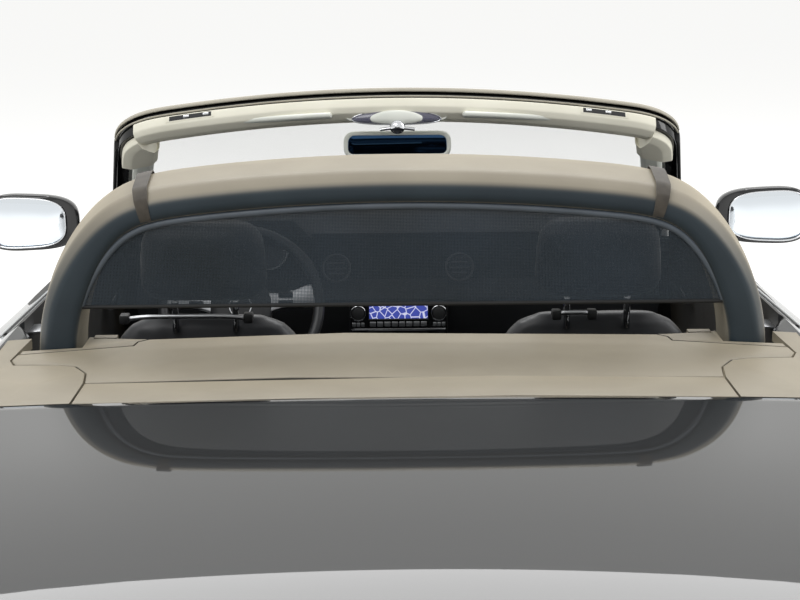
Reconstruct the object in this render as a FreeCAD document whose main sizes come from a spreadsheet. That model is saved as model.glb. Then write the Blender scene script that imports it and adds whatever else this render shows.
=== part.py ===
# Two-seat roadster convertible with its roof down: a full-size car, nose along +Y, right side along +X.
# The origin is on the ground, at the middle of the length and width. Lengths are in millimetres.
import FreeCAD, Part
import math
import os
import re
import Sketcher
from FreeCAD import Placement, Rotation, Vector

doc = FreeCAD.newDocument("roadster")
sheet = doc.addObject("Spreadsheet::Sheet", "size")

# Driving dimensions: alias, value, meaning. A name that ends in _y, _x or _z is a place.
dimensions = (
    ("nose_y", 2270, "foremost point of the front bumper"),
    ("tail_y", -2270, "rearmost point of the rear bumper"),
    ("front_axle_y", 1405, "front wheel centres"),
    ("wheelbase", 2560, "front axle to rear axle"),
    ("tyre_radius", 330, "outer radius of every tyre"),
    ("front_tyre_width", 255, "section width"),
    ("rear_tyre_width", 285, "section width"),
    ("front_track", 1560, "between the front wheel centres"),
    ("rear_track", 1530, "between the rear wheel centres"),
    ("rim_seat_radius", 226, "bead seat of the 18 inch rims"),
    ("rim_lip", 12, "height of the rim flange over its seat"),
    ("rim_wall", 12, "thickness of the rim barrel"),
    ("spoke_count", 5, "pairs of spokes"),
    ("disc_radius", 165, "brake disc"),
    ("disc_thickness", 28, "brake disc"),
    ("hub_radius", 62, "wheel hub"),
    ("arch_radius", 372, "edge of each wheel arch"),
    ("well_radius", 400, "clear space of the wheel wells"),
    ("hub_inset", 40, "wheel centre plane to the hub's mounting face"),
    ("kingpin_x", 712, "steering axis of the front knuckles"),
    ("arm_z", 190, "underside of the front control arms"),
    ("panel", 30, "thickness of the outer panels"),
    ("gap", 5, "shut line round every moving panel"),
    ("seam", 3, "joint between fixed panels"),
    ("seat_gap", 0.3, "clearance between pieces that seat on each other"),
    ("sill_bottom_z", 160, "lower edge of the body sides"),
    ("door_bottom_z", 268, "lower edge of the doors"),
    ("door_front_y", 600, "shut line between wing and door"),
    ("door_rear_y", -745, "shut line between door and rear quarter"),
    ("door_inner_x", 702, "inner face of the doors at the top"),
    ("door_slant", 24, "how far the door's rear face leans forward at its inner side"),
    ("waist_taper", 34, "how far the door's inner face leans outward at the bottom"),
    ("wing_front_y", 1995, "front end of the wings over the lamps"),
    ("bumper_front_y", 1790, "where the front bumper meets the wings"),
    ("bumper_rear_y", -1540, "where the rear bumper meets the quarters"),
    ("bumper_top_z", 600, "top of the bumper's side, front"),
    ("rear_bumper_top_z", 640, "top of the bumper's side, rear"),
    ("quarter_rear_y", -2000, "rear end of the quarter's straight side"),
    ("nose_top_z", 690, "top of the nose panel"),
    ("rear_top_z", 938, "top of the rear corner panels"),
    ("bonnet_front_y", 2120, "front edge of the bonnet"),
    ("bonnet_rear_y", 770, "rear edge of the bonnet"),
    ("lid_front_y", -1342, "front edge of the boot lid"),
    ("lid_rear_y", -2185, "rear top edge of the boot lid"),
    ("lid_face_half_width", 560, "boot lid's rear face"),
    ("lid_face_bottom_z", 690, "lower edge of the boot lid's rear face"),
    ("shelf_z", 972, "top of the roof cover panels behind the cockpit"),
    ("shelf_thickness", 18, "roof cover panels"),
    ("shelf_front_y", -950, "front edge of the roof cover's middle panel"),
    ("cover_side_front_y", -890, "front end of the roof cover beside the hoop"),
    ("strip_depth", 113, "rear strip of the roof cover"),
    ("cover_beam_height", 25, "cross beam under the roof cover, on the luggage well's rim"),
    ("hoop_foot_x", 596, "middle of each roll-over hoop leg at its foot"),
    ("hoop_y", -905, "middle plane of the roll-over hoop"),
    ("hoop_height", 66, "hoop section seen from behind"),
    ("hoop_depth", 150, "hoop section, front to back"),
    ("deflector_y", -962, "plane of the wind deflector"),
    ("deflector_bottom_z", 1013, "lower edge of the wind deflector"),
    ("deflector_frame", 14, "frame of the wind deflector"),
    ("screen_base_y", 745, "lower edge of the windscreen at the middle"),
    ("screen_base_z", 930, "lower edge of the windscreen at the middle"),
    ("screen_top_y", 172, "upper edge of the windscreen at the middle"),
    ("screen_top_z", 1258, "upper edge of the windscreen at the middle"),
    ("screen_corner_x", 612, "upper corner of the windscreen frame"),
    ("screen_foot_x", 738, "foot of the windscreen pillars"),
    ("screen_bow", 72, "how far the windscreen's upper corners stand behind its middle"),
    ("screen_glass", 6, "thickness of the windscreen"),
    ("pillar_width", 46, "windscreen frame, across the glass's edge"),
    ("pillar_depth", 44, "windscreen frame, square to the glass"),
    ("sill_inner_x", 734.7, "edge of the floor, at the rocker panels"),
    ("floor_z", 150, "underside of the floor"),
    ("floor_thickness", 20, "floor plate"),
    ("tunnel_half_width", 130, "centre tunnel"),
    ("tunnel_top_z", 360, "centre tunnel"),
    ("bulkhead_front_y", 705, "front bulkhead, cabin side"),
    ("bulkhead_rear_y", -900, "rear bulkhead, cabin side"),
    ("bulkhead_thickness", 25, "both bulkheads"),
    ("bulkhead_half_width", 690, "both bulkheads"),
    ("bulkhead_top_z", 860, "front bulkhead"),
    ("hoop_seat_z", 900, "rear bulkhead, which carries the roll-over hoop"),
    ("post_outer_x", 770, "door posts"),
    ("door_hinge_z", 400, "door hinge plates"),
    ("apron_top_z", 722, "front wheel aprons"),
    ("radiator_y", 2060, "front face of the radiator panel"),
    ("radiator_top_z", 540, "top of the radiator panel"),
    ("radiator_half_width", 560, "radiator panel"),
    ("nose_seat_z", 655, "post that the nose panel rests on"),
    ("bonnet_arm_x", 560, "bonnet hinges"),
    ("lid_arm_x", 520, "boot lid hinges"),
    ("boot_rear_y", -2036, "rear end of the luggage well"),
    ("boot_half_width", 600, "luggage well"),
    ("boot_top_z", 905, "rim of the luggage well"),
    ("rail_x", 400, "inner face of the chassis rails"),
    ("rail_width", 80, "chassis rails"),
    ("rail_z", 330, "underside of the chassis rails"),
    ("rail_height", 100, "chassis rails"),
    ("rear_rail_z", 375, "underside of the rear chassis rails, over the half shafts"),
    ("wheelhouse_x", 600, "inner side of the rear wheel houses"),
    ("jamb_rear_y", -800, "rear side of the rear door posts"),
    ("engine_length", 640, "engine and clutch housing as one block"),
    ("engine_width", 480, "engine block"),
    ("engine_height", 400, "engine block"),
    ("engine_y", 900, "rear face of the engine block"),
    ("engine_z", 255, "underside of the engine block"),
    ("seat_x", 377, "middle of each seat"),
    ("seat_width", 480, "seat cushion and backrest"),
    ("seat_back_y", -640, "rear face of the backrest at its top"),
    ("seat_top_z", 935, "top of the backrest"),
    ("seat_cushion_z", 480, "top of the seat cushion"),
    ("head_restraint_top_z", 1120, "top of the head restraint"),
    ("dash_half_width", 656, "dashboard"),
    ("dash_top_z", 905, "dashboard"),
    ("dash_rear_y", 400, "dashboard's face"),
    ("display_half_width", 122, "display unit in the dashboard"),
    ("display_z", 660, "middle of the display unit"),
    ("inside_mirror_half_width", 126, "interior mirror"),
    ("inside_mirror_z", 1131, "middle of the interior mirror"),
    ("column_x", -377, "steering column"),
    ("steering_rim_radius", 188, "steering wheel"),
    ("steering_rim_tube", 15, "steering wheel"),
    ("steering_y", 205, "steering wheel's hub"),
    ("steering_z", 745, "steering wheel's hub"),
    ("steering_tilt", 24, "degrees that the column leans"),
    ("mirror_inner_x", 782, "inner edge of each door mirror"),
    ("mirror_width", 234, "door mirror housing"),
    ("mirror_height", 150, "door mirror housing"),
    ("mirror_depth", 100, "door mirror housing"),
    ("mirror_y", 352, "glass side of the door mirrors"),
    ("mirror_z", 925, "middle of the door mirrors"),
    ("exhaust_radius", 28, "exhaust pipes"),
    ("exhaust_x", 330, "tail pipes"),
    ("exhaust_z", 235, "exhaust pipes' centreline"),
)
for row, (alias, value, meaning) in enumerate(dimensions, 1):
    sheet.set(f"A{row}", meaning)
    sheet.set(f"B{row}", str(value))
    sheet.setAlias(f"B{row}", alias)
doc.recompute()


def size(alias):
    return float(getattr(sheet, alias))


def formula(sum_text):
    """A sum of dimensions, with each name pointing at its cell."""
    return re.sub(r"[a-z][a-z_]*", lambda word: "size." + word.group(), str(sum_text))


front_axle_y = size("front_axle_y")
rear_axle_y = front_axle_y - size("wheelbase")
panel = size("panel")
gap = size("gap")
seam = size("seam")
seat_gap = size("seat_gap")
quarter_start_y = size("door_rear_y") - gap

# Body lines. Each row is a station: y, greatest half width, shoulder height, half width of the deck,
# height at the deck's edge, height at the deck's middle. The deck is the bonnet, cockpit rim or boot lid.
station_lines = (
    (size("tail_y") + 85, 912, 842, 556, 928, 945),
    (size("quarter_rear_y"), 912, 868, 612, 947, 972),
    (rear_axle_y - 545, 912, 882, 650, 958, 984),
    (size("lid_front_y"), 914, 890, 678, 960, 972),
    (rear_axle_y, 914, 890, 690, 958, 972),
    (size("door_rear_y"), 902, 884, 700, 944, 972),
    (-50, 888, 862, 704, 916, 930),
    (size("door_front_y"), 890, 838, 712, 893, 926),
    (front_axle_y - 405, 900, 812, 692, 874, 922),
    (front_axle_y, 908, 776, 664, 836, 886),
    (front_axle_y + 295, 897, 737, 632, 792, 832),
    (size("wing_front_y"), 895, 674, 552, 716, 752),
    (size("bonnet_front_y"), 895, 640, 470, 672, 703),
)
HALF_WIDTH, SHOULDER, DECK_HALF, DECK_EDGE, DECK_MIDDLE = range(1, 6)

# How far the bumpers reach at each height: z, front y, rear y.
reach_levels = (
    (160, size("nose_y") - 85, size("tail_y") + 60),
    (300, size("nose_y") - 22, size("tail_y") + 12),
    (470, size("nose_y"), size("tail_y")),
    (600, size("nose_y") - 30, size("tail_y") + 6),
    (690, size("nose_y") - 105, size("tail_y") + 16),
    (800, size("nose_y") - 210, size("tail_y") + 38),
    (945, size("nose_y") - 400, size("tail_y") + 88),
    (1000, size("nose_y") - 460, size("tail_y") + 112),
)
FRONT_REACH, REAR_REACH = 1, 2
nose_round_y = front_axle_y + 295
tail_round_y = rear_axle_y - 345
nose_power = 2.4
tail_power = 3.0
tuck_under = 52
lean_in = 95
widest_share = 0.42
shoulder_round = 66
shoulder_rise = 34


def along(table, column, place):
    """A column of a table at a place between its rows, as a smooth curve through them."""
    rows = table
    last = len(rows) - 2
    i = 0
    while i < last and place > rows[i + 1][0]:
        i += 1

    def slope(k):
        low, high = max(k - 1, 0), min(k + 1, len(rows) - 1)
        return (rows[high][column] - rows[low][column]) / (rows[high][0] - rows[low][0])

    span = rows[i + 1][0] - rows[i][0]
    share = min(max((place - rows[i][0]) / span, 0.0), 1.0)
    square, cube = share ** 2, share ** 3
    return (
        (2 * cube - 3 * square + 1) * rows[i][column]
        + (cube - 2 * square + share) * span * slope(i)
        + (3 * square - 2 * cube) * rows[i + 1][column]
        + (cube - square) * span * slope(i + 1)
    )


def line(column, y):
    return along(station_lines, column, y)


def inset(y, z):
    """How far the body side stands inside its greatest half width at a height."""
    bottom = size("sill_bottom_z")
    share = (z - bottom) / (line(SHOULDER, y) - bottom)
    if share < widest_share:
        return tuck_under * (1 - share / widest_share) ** 2
    return lean_in * ((share - widest_share) / (1 - widest_share)) ** 2.4


def sideX(y, z):
    """Half width of the body's outer surface at a place."""
    if y > nose_round_y:
        full = line(HALF_WIDTH, nose_round_y) - inset(nose_round_y, z)
        share = (y - nose_round_y) / (along(reach_levels, FRONT_REACH, z) - nose_round_y)
        return full * max(1 - share ** nose_power, 0) ** (1 / nose_power)
    if y < tail_round_y:
        full = line(HALF_WIDTH, tail_round_y) - inset(tail_round_y, z)
        share = (y - tail_round_y) / (along(reach_levels, REAR_REACH, z) - tail_round_y)
        return full * max(1 - share ** tail_power, 0) ** (1 / tail_power)
    return line(HALF_WIDTH, y) - inset(y, z)


def curveThrough(points):
    """A straight edge through two points or an arc through three."""
    if len(points) == 2:
        return Part.makeLine(*points)
    return Part.Arc(*points).toShape()


def closedWire(chains):
    """One wire of lines and arcs; each chain starts where the one before it ended."""
    return Part.Wire([curveThrough(chain) for chain in chains])


def loft(wires, ruled=True):
    """A solid through closed wires, straight or smooth between them."""
    shape = Part.makeLoft(wires, True, ruled)
    if shape.Volume < 0:
        shape.reverse()
    return shape


def block(x0, x1, y0, y1, z0, z1):
    """A box between two corners."""
    return Part.makeBox(x1 - x0, y1 - y0, z1 - z0, Vector(x0, y0, z0))


def mirrored(shape):
    """The same piece on the other side of the car."""
    return shape.mirror(Vector(0, 0, 0), Vector(1, 0, 0))


def fused(shapes):
    first, rest = shapes[0], shapes[1:]
    joined = first.fuse(rest) if rest else first
    return joined.removeSplitter()


nodes = []


def node(label, shape):
    """One sub-part of the car, named as its file."""
    feature = doc.addObject("Part::Feature", label)
    feature.Label = label
    feature.Shape = shape
    nodes.append(feature)
    return feature


def pair(label, right_shape):
    """A piece on each side of the car, as two sub-parts."""
    node(label + "_right", right_shape)
    node(label + "_left", mirrored(right_shape))


# Outer panels of the sides


def sideSection(y, low_z, inner):
    """Section of a wing or quarter at y: side, shoulder and top down to the deck's edge, one panel thick."""
    rise_z = line(SHOULDER, y)
    wide_z = size("sill_bottom_z") + widest_share * (rise_z - size("sill_bottom_z"))
    top_x = sideX(y, rise_z) - shoulder_round
    deck_x = line(DECK_HALF, y) + (gap if inner is None else inner)
    deck_z = line(DECK_EDGE, y)

    def at(z, depth=0):
        return Vector(sideX(y, z) - depth, y, z)

    def ring(depth):
        low = low_z
        start = max(wide_z, low + 60)
        side = [at(low, depth), at((low + start) / 2, depth), at(start, depth)]
        upper = [side[2], at((start + rise_z) / 2 + 20, depth), at(rise_z, depth * 0.9)]
        shoulder = [
            upper[2],
            Vector(top_x + shoulder_round * 0.34 - depth * 0.7, y,
                   rise_z + shoulder_rise * 0.7 - depth * 0.7),
            Vector(top_x - depth * 0.4, y, rise_z + shoulder_rise - depth * 0.9),
        ]
        top = [shoulder[2], Vector(deck_x, y, deck_z - depth)]
        return [side, upper, shoulder, top]

    outer, inside = ring(0), ring(panel)
    back = [list(reversed(chain)) for chain in reversed(inside)]
    return closedWire(
        outer + [[outer[-1][-1], back[0][0]]] + back + [[back[-1][-1], outer[0][0]]]
    )


def wheelCut(y, radius, x0=480.0, x1=1000.0):
    return Part.makeCylinder(radius, x1 - x0, Vector(x0, y, size("tyre_radius")), Vector(1, 0, 0))


def wingRight():
    ends = (size("door_front_y") + gap, size("wing_front_y"))
    places = [ends[0], front_axle_y - 405, front_axle_y, front_axle_y + 295, ends[1]]
    skin = loft([sideSection(y, size("door_bottom_z"), None) for y in places])
    below = block(0, 1000, size("bumper_front_y"), size("nose_y"), 0, size("bumper_top_z") + seam)
    skin = skin.cut(wheelCut(front_axle_y, size("arch_radius"))).cut(below)
    skin = skin.cut(screenSpace(seam))
    foot = block(size("post_outer_x") + seat_gap, 850, ends[0] + 20, ends[0] + 70, 300, 340)
    top = block(size("sill_inner_x") + seat_gap, 820, front_axle_y - 330, front_axle_y - 270,
                size("apron_top_z") - 15, size("apron_top_z"))
    return fused([skin, foot, top])


def quarterRight():
    places = [size("quarter_rear_y"), rear_axle_y - 545, size("lid_front_y"), rear_axle_y, quarter_start_y]
    skin = loft([sideSection(y, size("door_bottom_z"), None) for y in places])
    below = block(0, 1000, size("tail_y"), size("bumper_rear_y"), 0, size("rear_bumper_top_z") + seam)
    skin = skin.cut(wheelCut(rear_axle_y, size("arch_radius"))).cut(below)
    jamb = block(size("bulkhead_half_width") + 10, 840, size("jamb_rear_y") + 10, quarter_start_y,
                 size("door_bottom_z") + 20, 850)
    return fused([skin, jamb, rearCornerRight()])


def sillRight():
    """Rocker panel between the wheel arches, under the door."""
    places = [
        rear_axle_y + size("arch_radius") + 20,
        -50,
        front_axle_y - size("arch_radius") - 20,
    ]

    def section(y):
        top_z, low_z = size("door_bottom_z") - gap, size("sill_bottom_z")
        low, middle, top = (Vector(sideX(y, z), y, z) for z in (low_z, (top_z + low_z) / 2, top_z))
        inner_x = size("sill_inner_x") + seat_gap
        inner_top, inner_low = Vector(inner_x, y, top_z), Vector(inner_x, y, low_z)
        return closedWire([[low, middle, top], [top, inner_top], [inner_top, inner_low], [inner_low, low]])

    return loft([section(y) for y in places])


def doorRight():
    """Door as thick as the real one, from the outer skin to the trim, with an armrest and a pull recess."""
    front, rear = size("door_front_y"), size("door_rear_y")
    low = size("door_bottom_z")
    inner = size("door_inner_x")

    def section(y):
        rise_z = line(SHOULDER, y)
        wide_z = size("sill_bottom_z") + widest_share * (rise_z - size("sill_bottom_z"))
        top_x = sideX(y, rise_z) - shoulder_round
        top_z = line(DECK_EDGE, y)

        def at(z):
            return Vector(sideX(y, z), y, z)

        return closedWire([
            [at(low), at((low + wide_z) / 2), at(wide_z)],
            [at(wide_z), at((wide_z + rise_z) / 2 + 20), at(rise_z)],
            [at(rise_z), Vector(top_x + shoulder_round * 0.34, y, rise_z + shoulder_rise * 0.7),
             Vector(top_x, y, rise_z + shoulder_rise)],
            [Vector(top_x, y, rise_z + shoulder_rise), Vector(inner, y, top_z)],
            [Vector(inner, y, top_z), Vector(inner + size("waist_taper"), y, low)],
            [Vector(inner + size("waist_taper"), y, low), at(low)],
        ])

    shell = loft([section(y) for y in (rear, -50, front)])
    slant = math.degrees(math.atan2(size("door_slant"), 890 - inner))
    wedge = block(0, 1200, rear - 300, rear, 0, 1200)
    wedge.rotate(Vector(890, rear, 0), Vector(0, 0, 1), -slant)
    pocket = block(inner - 10, inner + 45, -250, 350, 330, 420)
    armrest = block(inner - 52, inner + 30, -470, 130, 610, 660)
    armrest = armrest.makeChamfer(12, [e for e in armrest.Edges if e.BoundBox.XMax < inner])
    hinge_x, hinge_z = size("post_outer_x"), size("door_hinge_z") + seat_gap
    hinge = block(hinge_x + 10, hinge_x + 60, front - 10, front + 40, hinge_z, hinge_z + 12)
    return fused([shell, armrest, hinge]).cut([wedge, pocket, screenSpace(gap)])


# Bumpers, rear corners, lamps and grille


def planLevel(z, start_y, front, depth=0.0):
    """Plan outline of a bumper at one height: sides, corners and end as arcs, closed at the back."""
    column = FRONT_REACH if front else REAR_REACH
    round_y = nose_round_y if front else tail_round_y
    power = nose_power if front else tail_power
    end = along(reach_levels, column, z) - (depth if front else -depth)

    def at(share, side):
        y = start_y + (end - start_y) * share
        full = line(HALF_WIDTH, round_y) - inset(round_y, z) - depth
        part = abs(y - round_y) / abs(end - round_y)
        x = full * max(1 - part ** power, 0) ** (1 / power)
        if (y - round_y) * (end - round_y) < 0:
            x = sideX(y, z) - depth
        return Vector(side * x, y, z)

    stops = (0.0, 0.36, 0.62, 0.80, 0.93)
    right = [at(share, 1) for share in stops]
    left = [at(share, -1) for share in reversed(stops)]
    tip = Vector(0, end, z)
    return closedWire([
        right[0:3],
        right[2:5],
        [right[4], tip, left[0]],
        left[0:3],
        left[2:5],
        [left[4], right[0]],
    ])


def bumperBlock(levels, start_y, front, depth=0.0):
    return loft([planLevel(z, start_y, front, depth) for z in levels])


def ellipticCutter(x, z, wide, high, y0, y1, turn):
    """An elliptical prism along Y with flat facets, for lamps and air intakes."""
    turns = [math.tau * k / lamp_facets for k in range(lamp_facets)]
    corners = [Vector(wide * math.cos(a), high * math.sin(a), 0) for a in turns]
    face = Part.Face(Part.makePolygon(corners + corners[:1]))
    face.rotate(Vector(0, 0, 0), Vector(0, 0, 1), turn)
    face.rotate(Vector(0, 0, 0), Vector(1, 0, 0), 90)
    face.translate(Vector(x, y0, z))
    return face.extrude(Vector(0, y1 - y0, 0))


lamp_facets = 24
lamp_x, lamp_z, lamp_wide, lamp_high, lamp_turn = 640, 628, 150, 74, 14
tail_lamp_x, tail_lamp_z, tail_lamp_wide, tail_lamp_high, tail_lamp_turn = 735, 778, 150, 66, 8
grille_half_width, grille_low_z, grille_high_z = 330, 478, 640
intake_half_width, intake_low_z, intake_high_z = 430, 205, 320


def headlampCut(side, grow):
    return ellipticCutter(side * lamp_x, lamp_z, lamp_wide + grow, lamp_high + grow,
                          size("wing_front_y") - 110, size("nose_y"), -side * lamp_turn)


def tailLampCut(side, grow):
    return ellipticCutter(side * tail_lamp_x, tail_lamp_z, tail_lamp_wide + grow, tail_lamp_high + grow,
                          size("tail_y") - 10, size("quarter_rear_y") + 60, -side * tail_lamp_turn)


front_low_levels = (size("sill_bottom_z"), 300, 470, size("bumper_top_z"))
front_high_levels = (size("bumper_top_z"), 650, size("nose_top_z"))
rear_low_levels = (size("sill_bottom_z") + 40, 330, 500, size("rear_bumper_top_z"))
rear_high_levels = (size("rear_bumper_top_z") + seam, 760, 870, size("rear_top_z"), 1000)


def skyOver(y0, y1):
    """All space over the body's top surface between two stations."""
    far, high = 1200, 1300

    def section(y):
        rise_z = line(SHOULDER, y)
        top_x = sideX(min(max(y, tail_round_y), nose_round_y), rise_z) - shoulder_round
        deck = [Vector(-line(DECK_HALF, y), y, line(DECK_EDGE, y)), Vector(0, y, line(DECK_MIDDLE, y)),
                Vector(line(DECK_HALF, y), y, line(DECK_EDGE, y))]
        shoulder = Vector(top_x, y, rise_z + shoulder_rise)
        low = Vector(far, y, rise_z - 90)
        across = [deck, [deck[2], shoulder], [shoulder, low], [low, Vector(far, y, high)],
                  [Vector(far, y, high), Vector(-far, y, high)],
                  [Vector(-far, y, high), Vector(-far, y, low.z)],
                  [Vector(-far, y, low.z), Vector(-shoulder.x, y, shoulder.z)],
                  [Vector(-shoulder.x, y, shoulder.z), deck[0]]]
        return closedWire(across)

    return loft([section(y) for y in (y0, (y0 + y1) / 2, y1)])


def deckSpace(places, below):
    """Room for a lid between its shut lines, open above."""
    return loft([deckSection(y, panel + below, 0, 200) for y in places])


def frontBlocks(depth):
    low_start = size("bumper_front_y") + seam
    high_start = size("wing_front_y") + seam
    if depth:
        inner_levels = (front_low_levels[0] - 20,) + front_low_levels[1:-1] + (size("bumper_top_z") + 20,)
        high_levels = (size("bumper_top_z") - 20, 650, size("nose_top_z") - depth)
        return (
            bumperBlock(inner_levels, low_start - 30, True, depth),
            bumperBlock(high_levels, high_start - 30, True, depth),
        )
    return bumperBlock(front_low_levels, low_start, True), bumperBlock(front_high_levels, high_start, True)


def grilleOpening(grow):
    """Slot with round ends behind the grille."""
    middle_z = (grille_low_z + grille_high_z) / 2
    radius = (grille_high_z - grille_low_z) / 2 + grow
    reach = grille_half_width - radius
    y0, y1 = size("nose_y") - 200, size("nose_y") + 20
    slot = block(-reach, reach, y0, y1, middle_z - radius, middle_z + radius)
    ends = [Part.makeCylinder(radius, y1 - y0, Vector(side * reach, y0, middle_z), Vector(0, 1, 0))
            for side in (-1, 1)]
    return slot.fuse(ends).removeSplitter()


fog_x, fog_z = 610, 290
fog_half_width, fog_half_height = 88, 46
outlet_half_width, outlet_half_height = 100, 48


def frontBumper():
    low, high = frontBlocks(0)
    low_inside, high_inside = frontBlocks(panel)
    tray_z = size("sill_bottom_z")
    tray = low.common(block(-700, 700, 2020, size("nose_y"), tray_z, tray_z + 12))
    body = low.fuse(high).cut([low_inside, high_inside]).cut(skyOver(1900, size("nose_y") + 20))
    bonnet_space = deckSpace((1900, size("wing_front_y"), size("bonnet_front_y") + gap), 12)
    body = body.fuse(tray)
    body = body.cut(grilleOpening(seam))
    body = body.cut(block(-intake_half_width, intake_half_width, 2000, 2300, intake_low_z, intake_high_z))
    for side in (-1, 1):
        body = body.cut(headlampCut(side, seam))
        body = body.cut(ellipticCutter(side * fog_x, fog_z, fog_half_width, fog_half_height, 1900, 2300, 0))
    body = body.cut(wheelCut(front_axle_y, size("well_radius"), 400, 1000))
    body = body.cut(wheelCut(front_axle_y, size("well_radius"), -1000, -400))
    brackets = [block(side * 440 - 30, side * 440 + 30, size("radiator_y") + seat_gap, 2185, 350, 410)
                for side in (-1, 1)]
    return fused([body.cut(bonnet_space)] + brackets)


def headlamps():
    low, high = frontBlocks(0)
    filled = low.fuse(high).cut(skyOver(1900, size("nose_y") + 20))
    filled = filled.cut(deckSpace((1900, size("wing_front_y"), size("bonnet_front_y") + gap), gap))
    lamps = []
    for side in (-1, 1):
        lamp = filled.common(headlampCut(side, 0))
        foot = block(side * 530 - 15, side * 530 + 15, size("radiator_y") - 30, size("radiator_y"),
                     size("radiator_top_z") + seat_gap, 610)
        lamps.append(fused([lamp, foot]))
    return lamps


def grille():
    """Three slats and their surround in the nose opening, with a mesh plate behind."""
    back_y = size("nose_y") - 120
    middle_z = (grille_low_z + grille_high_z) / 2
    outline = grilleOpening(0)
    frame = outline.cut(grilleOpening(-14))
    frame = frame.common(block(-400, 400, back_y, size("nose_y") - 42, 400, 700))
    plate = grilleOpening(-14).common(block(-400, 400, back_y, back_y + 12, 400, 700))
    slats = [
        grilleOpening(-14).common(block(-400, 400, back_y + 12, size("nose_y") - 50,
                                        middle_z + k * 40 - 6, middle_z + k * 40 + 6))
        for k in (-1, 0, 1)
    ]
    stays = [block(side * 250 - 15, side * 250 + 15, size("radiator_y") + seat_gap, back_y + 4, 500, 530)
             for side in (-1, 1)]
    return fused([frame, plate] + slats + stays)


def rearUpper():
    whole = bumperBlock(rear_high_levels, size("quarter_rear_y"), False)
    return whole.cut(skyOver(size("tail_y") - 20, size("quarter_rear_y") + 20))


def rearShell():
    inner_levels = (rear_high_levels[0] - 20,) + rear_high_levels[1:]
    return rearUpper().cut(bumperBlock(inner_levels, size("quarter_rear_y") + 30, False, panel))


def rearCornerRight():
    """Corner of the quarter panel round the tail lamp."""
    corner = rearShell().common(block(size("lid_face_half_width") + gap, 1000, -2400, -1900, 0, 1100))
    lid_space = deckSpace((size("tail_y") - 20, size("lid_rear_y"), size("quarter_rear_y") + 20), gap)
    return corner.cut(tailLampCut(1, seam)).cut(lid_space)


def tailLamps():
    lamps = []
    for side in (-1, 1):
        lamp = rearUpper().common(tailLampCut(side, 0))
        limit = block(size("boot_half_width") + 12, 1000, -2400, size("quarter_rear_y") - 10, 600, 900)
        foot_x, foot_y = size("boot_half_width") + seat_gap, size("boot_rear_y")
        foot = block(foot_x, 660, foot_y + 2, foot_y + 40, 760, 800)
        lamp = lamp.common(limit if side > 0 else mirrored(limit))
        lamps.append(fused([lamp, foot if side > 0 else mirrored(foot)]))
    return lamps


def rearBumper():
    start = size("bumper_rear_y") - seam
    body = bumperBlock(rear_low_levels, start, False)
    tray = body.common(block(-700, 700, size("tail_y"), -2130, rear_low_levels[0], rear_low_levels[0] + 12))
    inner_levels = (rear_low_levels[0] - 20,) + rear_low_levels[1:-1] + (rear_low_levels[-1] + 20,)
    body = body.cut(bumperBlock(inner_levels, start + panel, False, panel)).fuse(tray)
    for side in (-1, 1):
        body = body.cut(ellipticCutter(side * size("exhaust_x"), size("exhaust_z"), outlet_half_width,
                                       outlet_half_height, -2300, -2000, 0))
        body = body.cut(wheelCut(rear_axle_y, size("well_radius") - 15, side * 700 - 300, side * 700 + 300))
    brackets = [block(side * 440 - 30, side * 440 + 30, -2225, size("boot_rear_y") - seat_gap, 385, 425)
                for side in (-1, 1)]
    return fused([body] + brackets)


# Bonnet and boot lid


def deckSection(y, thickness, margin=0.0, rise=0.0):
    """Section of the bonnet, cockpit rim or boot lid at y, bowed between its edges."""
    edge_x = line(DECK_HALF, y) - margin
    edge_z, middle_z = line(DECK_EDGE, y), line(DECK_MIDDLE, y)

    def arc(drop):
        return [Vector(-edge_x, y, edge_z - drop), Vector(0, y, middle_z - drop),
                Vector(edge_x, y, edge_z - drop)]

    top, under = arc(-rise), arc(thickness)
    return closedWire([top, [top[2], under[2]], list(reversed(under)), [under[0], top[0]]])


def bonnet():
    places = (size("bonnet_rear_y"), front_axle_y - 405, front_axle_y, front_axle_y + 295,
              size("wing_front_y"), size("bonnet_front_y"))
    rear_margins = (4, 1)
    margins = rear_margins + (0,) * (len(places) - len(rear_margins))
    lid = loft([deckSection(y, panel, margin) for y, margin in zip(places, margins)])
    arm_x, rear_y = size("bonnet_arm_x"), size("bonnet_rear_y")
    arms = [block(side * (arm_x - 10) - 10, side * (arm_x - 10) + 10, rear_y + 20, rear_y + 110,
                  size("bulkhead_top_z") - 30, size("bulkhead_top_z") + 22) for side in (-1, 1)]
    return fused([lid] + arms)


def bootLid():
    places = (size("lid_front_y"), rear_axle_y - 545, size("quarter_rear_y"), size("lid_rear_y"))
    top = loft([deckSection(y, panel, gap) for y in places])
    top = top.common(bumperBlock((870, size("rear_top_z"), 1000), size("lid_front_y"), False))
    half = size("lid_face_half_width")
    face = rearShell().common(block(-half, half, -2400, -1900, size("lid_face_bottom_z"), 1100))
    arm_x, front_y = size("lid_arm_x"), size("lid_front_y")
    arms = [block(side * (arm_x - 8) - 8, side * (arm_x - 8) + 8, front_y - 130, front_y - 30,
                  size("boot_top_z") + 2, 945) for side in (-1, 1)]
    return fused([top, face] + arms)


# Bound solids


def box(name, x, y, z):
    """A box; each argument is a pair of sums for its two ends along that axis."""
    solid = doc.addObject("Part::Box", name)
    for side, (low, high) in (("Length", x), ("Width", y), ("Height", z)):
        solid.setExpression(side, formula(f"({high}) - ({low})"))
    for axis, (low, high) in (("x", x), ("y", y), ("z", z)):
        solid.setExpression(f".Placement.Base.{axis}", formula(low))
    return solid


def rod(name, radius, length, place, turn=Rotation()):
    """A cylinder from a place along Z, or along the turned Z."""
    solid = doc.addObject("Part::Cylinder", name)
    solid.setExpression("Radius", formula(radius))
    solid.setExpression("Height", formula(length))
    solid.Placement = Placement(Vector(), turn)
    for axis, text in zip("xyz", place):
        solid.setExpression(f".Placement.Base.{axis}", formula(text))
    return solid


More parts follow.
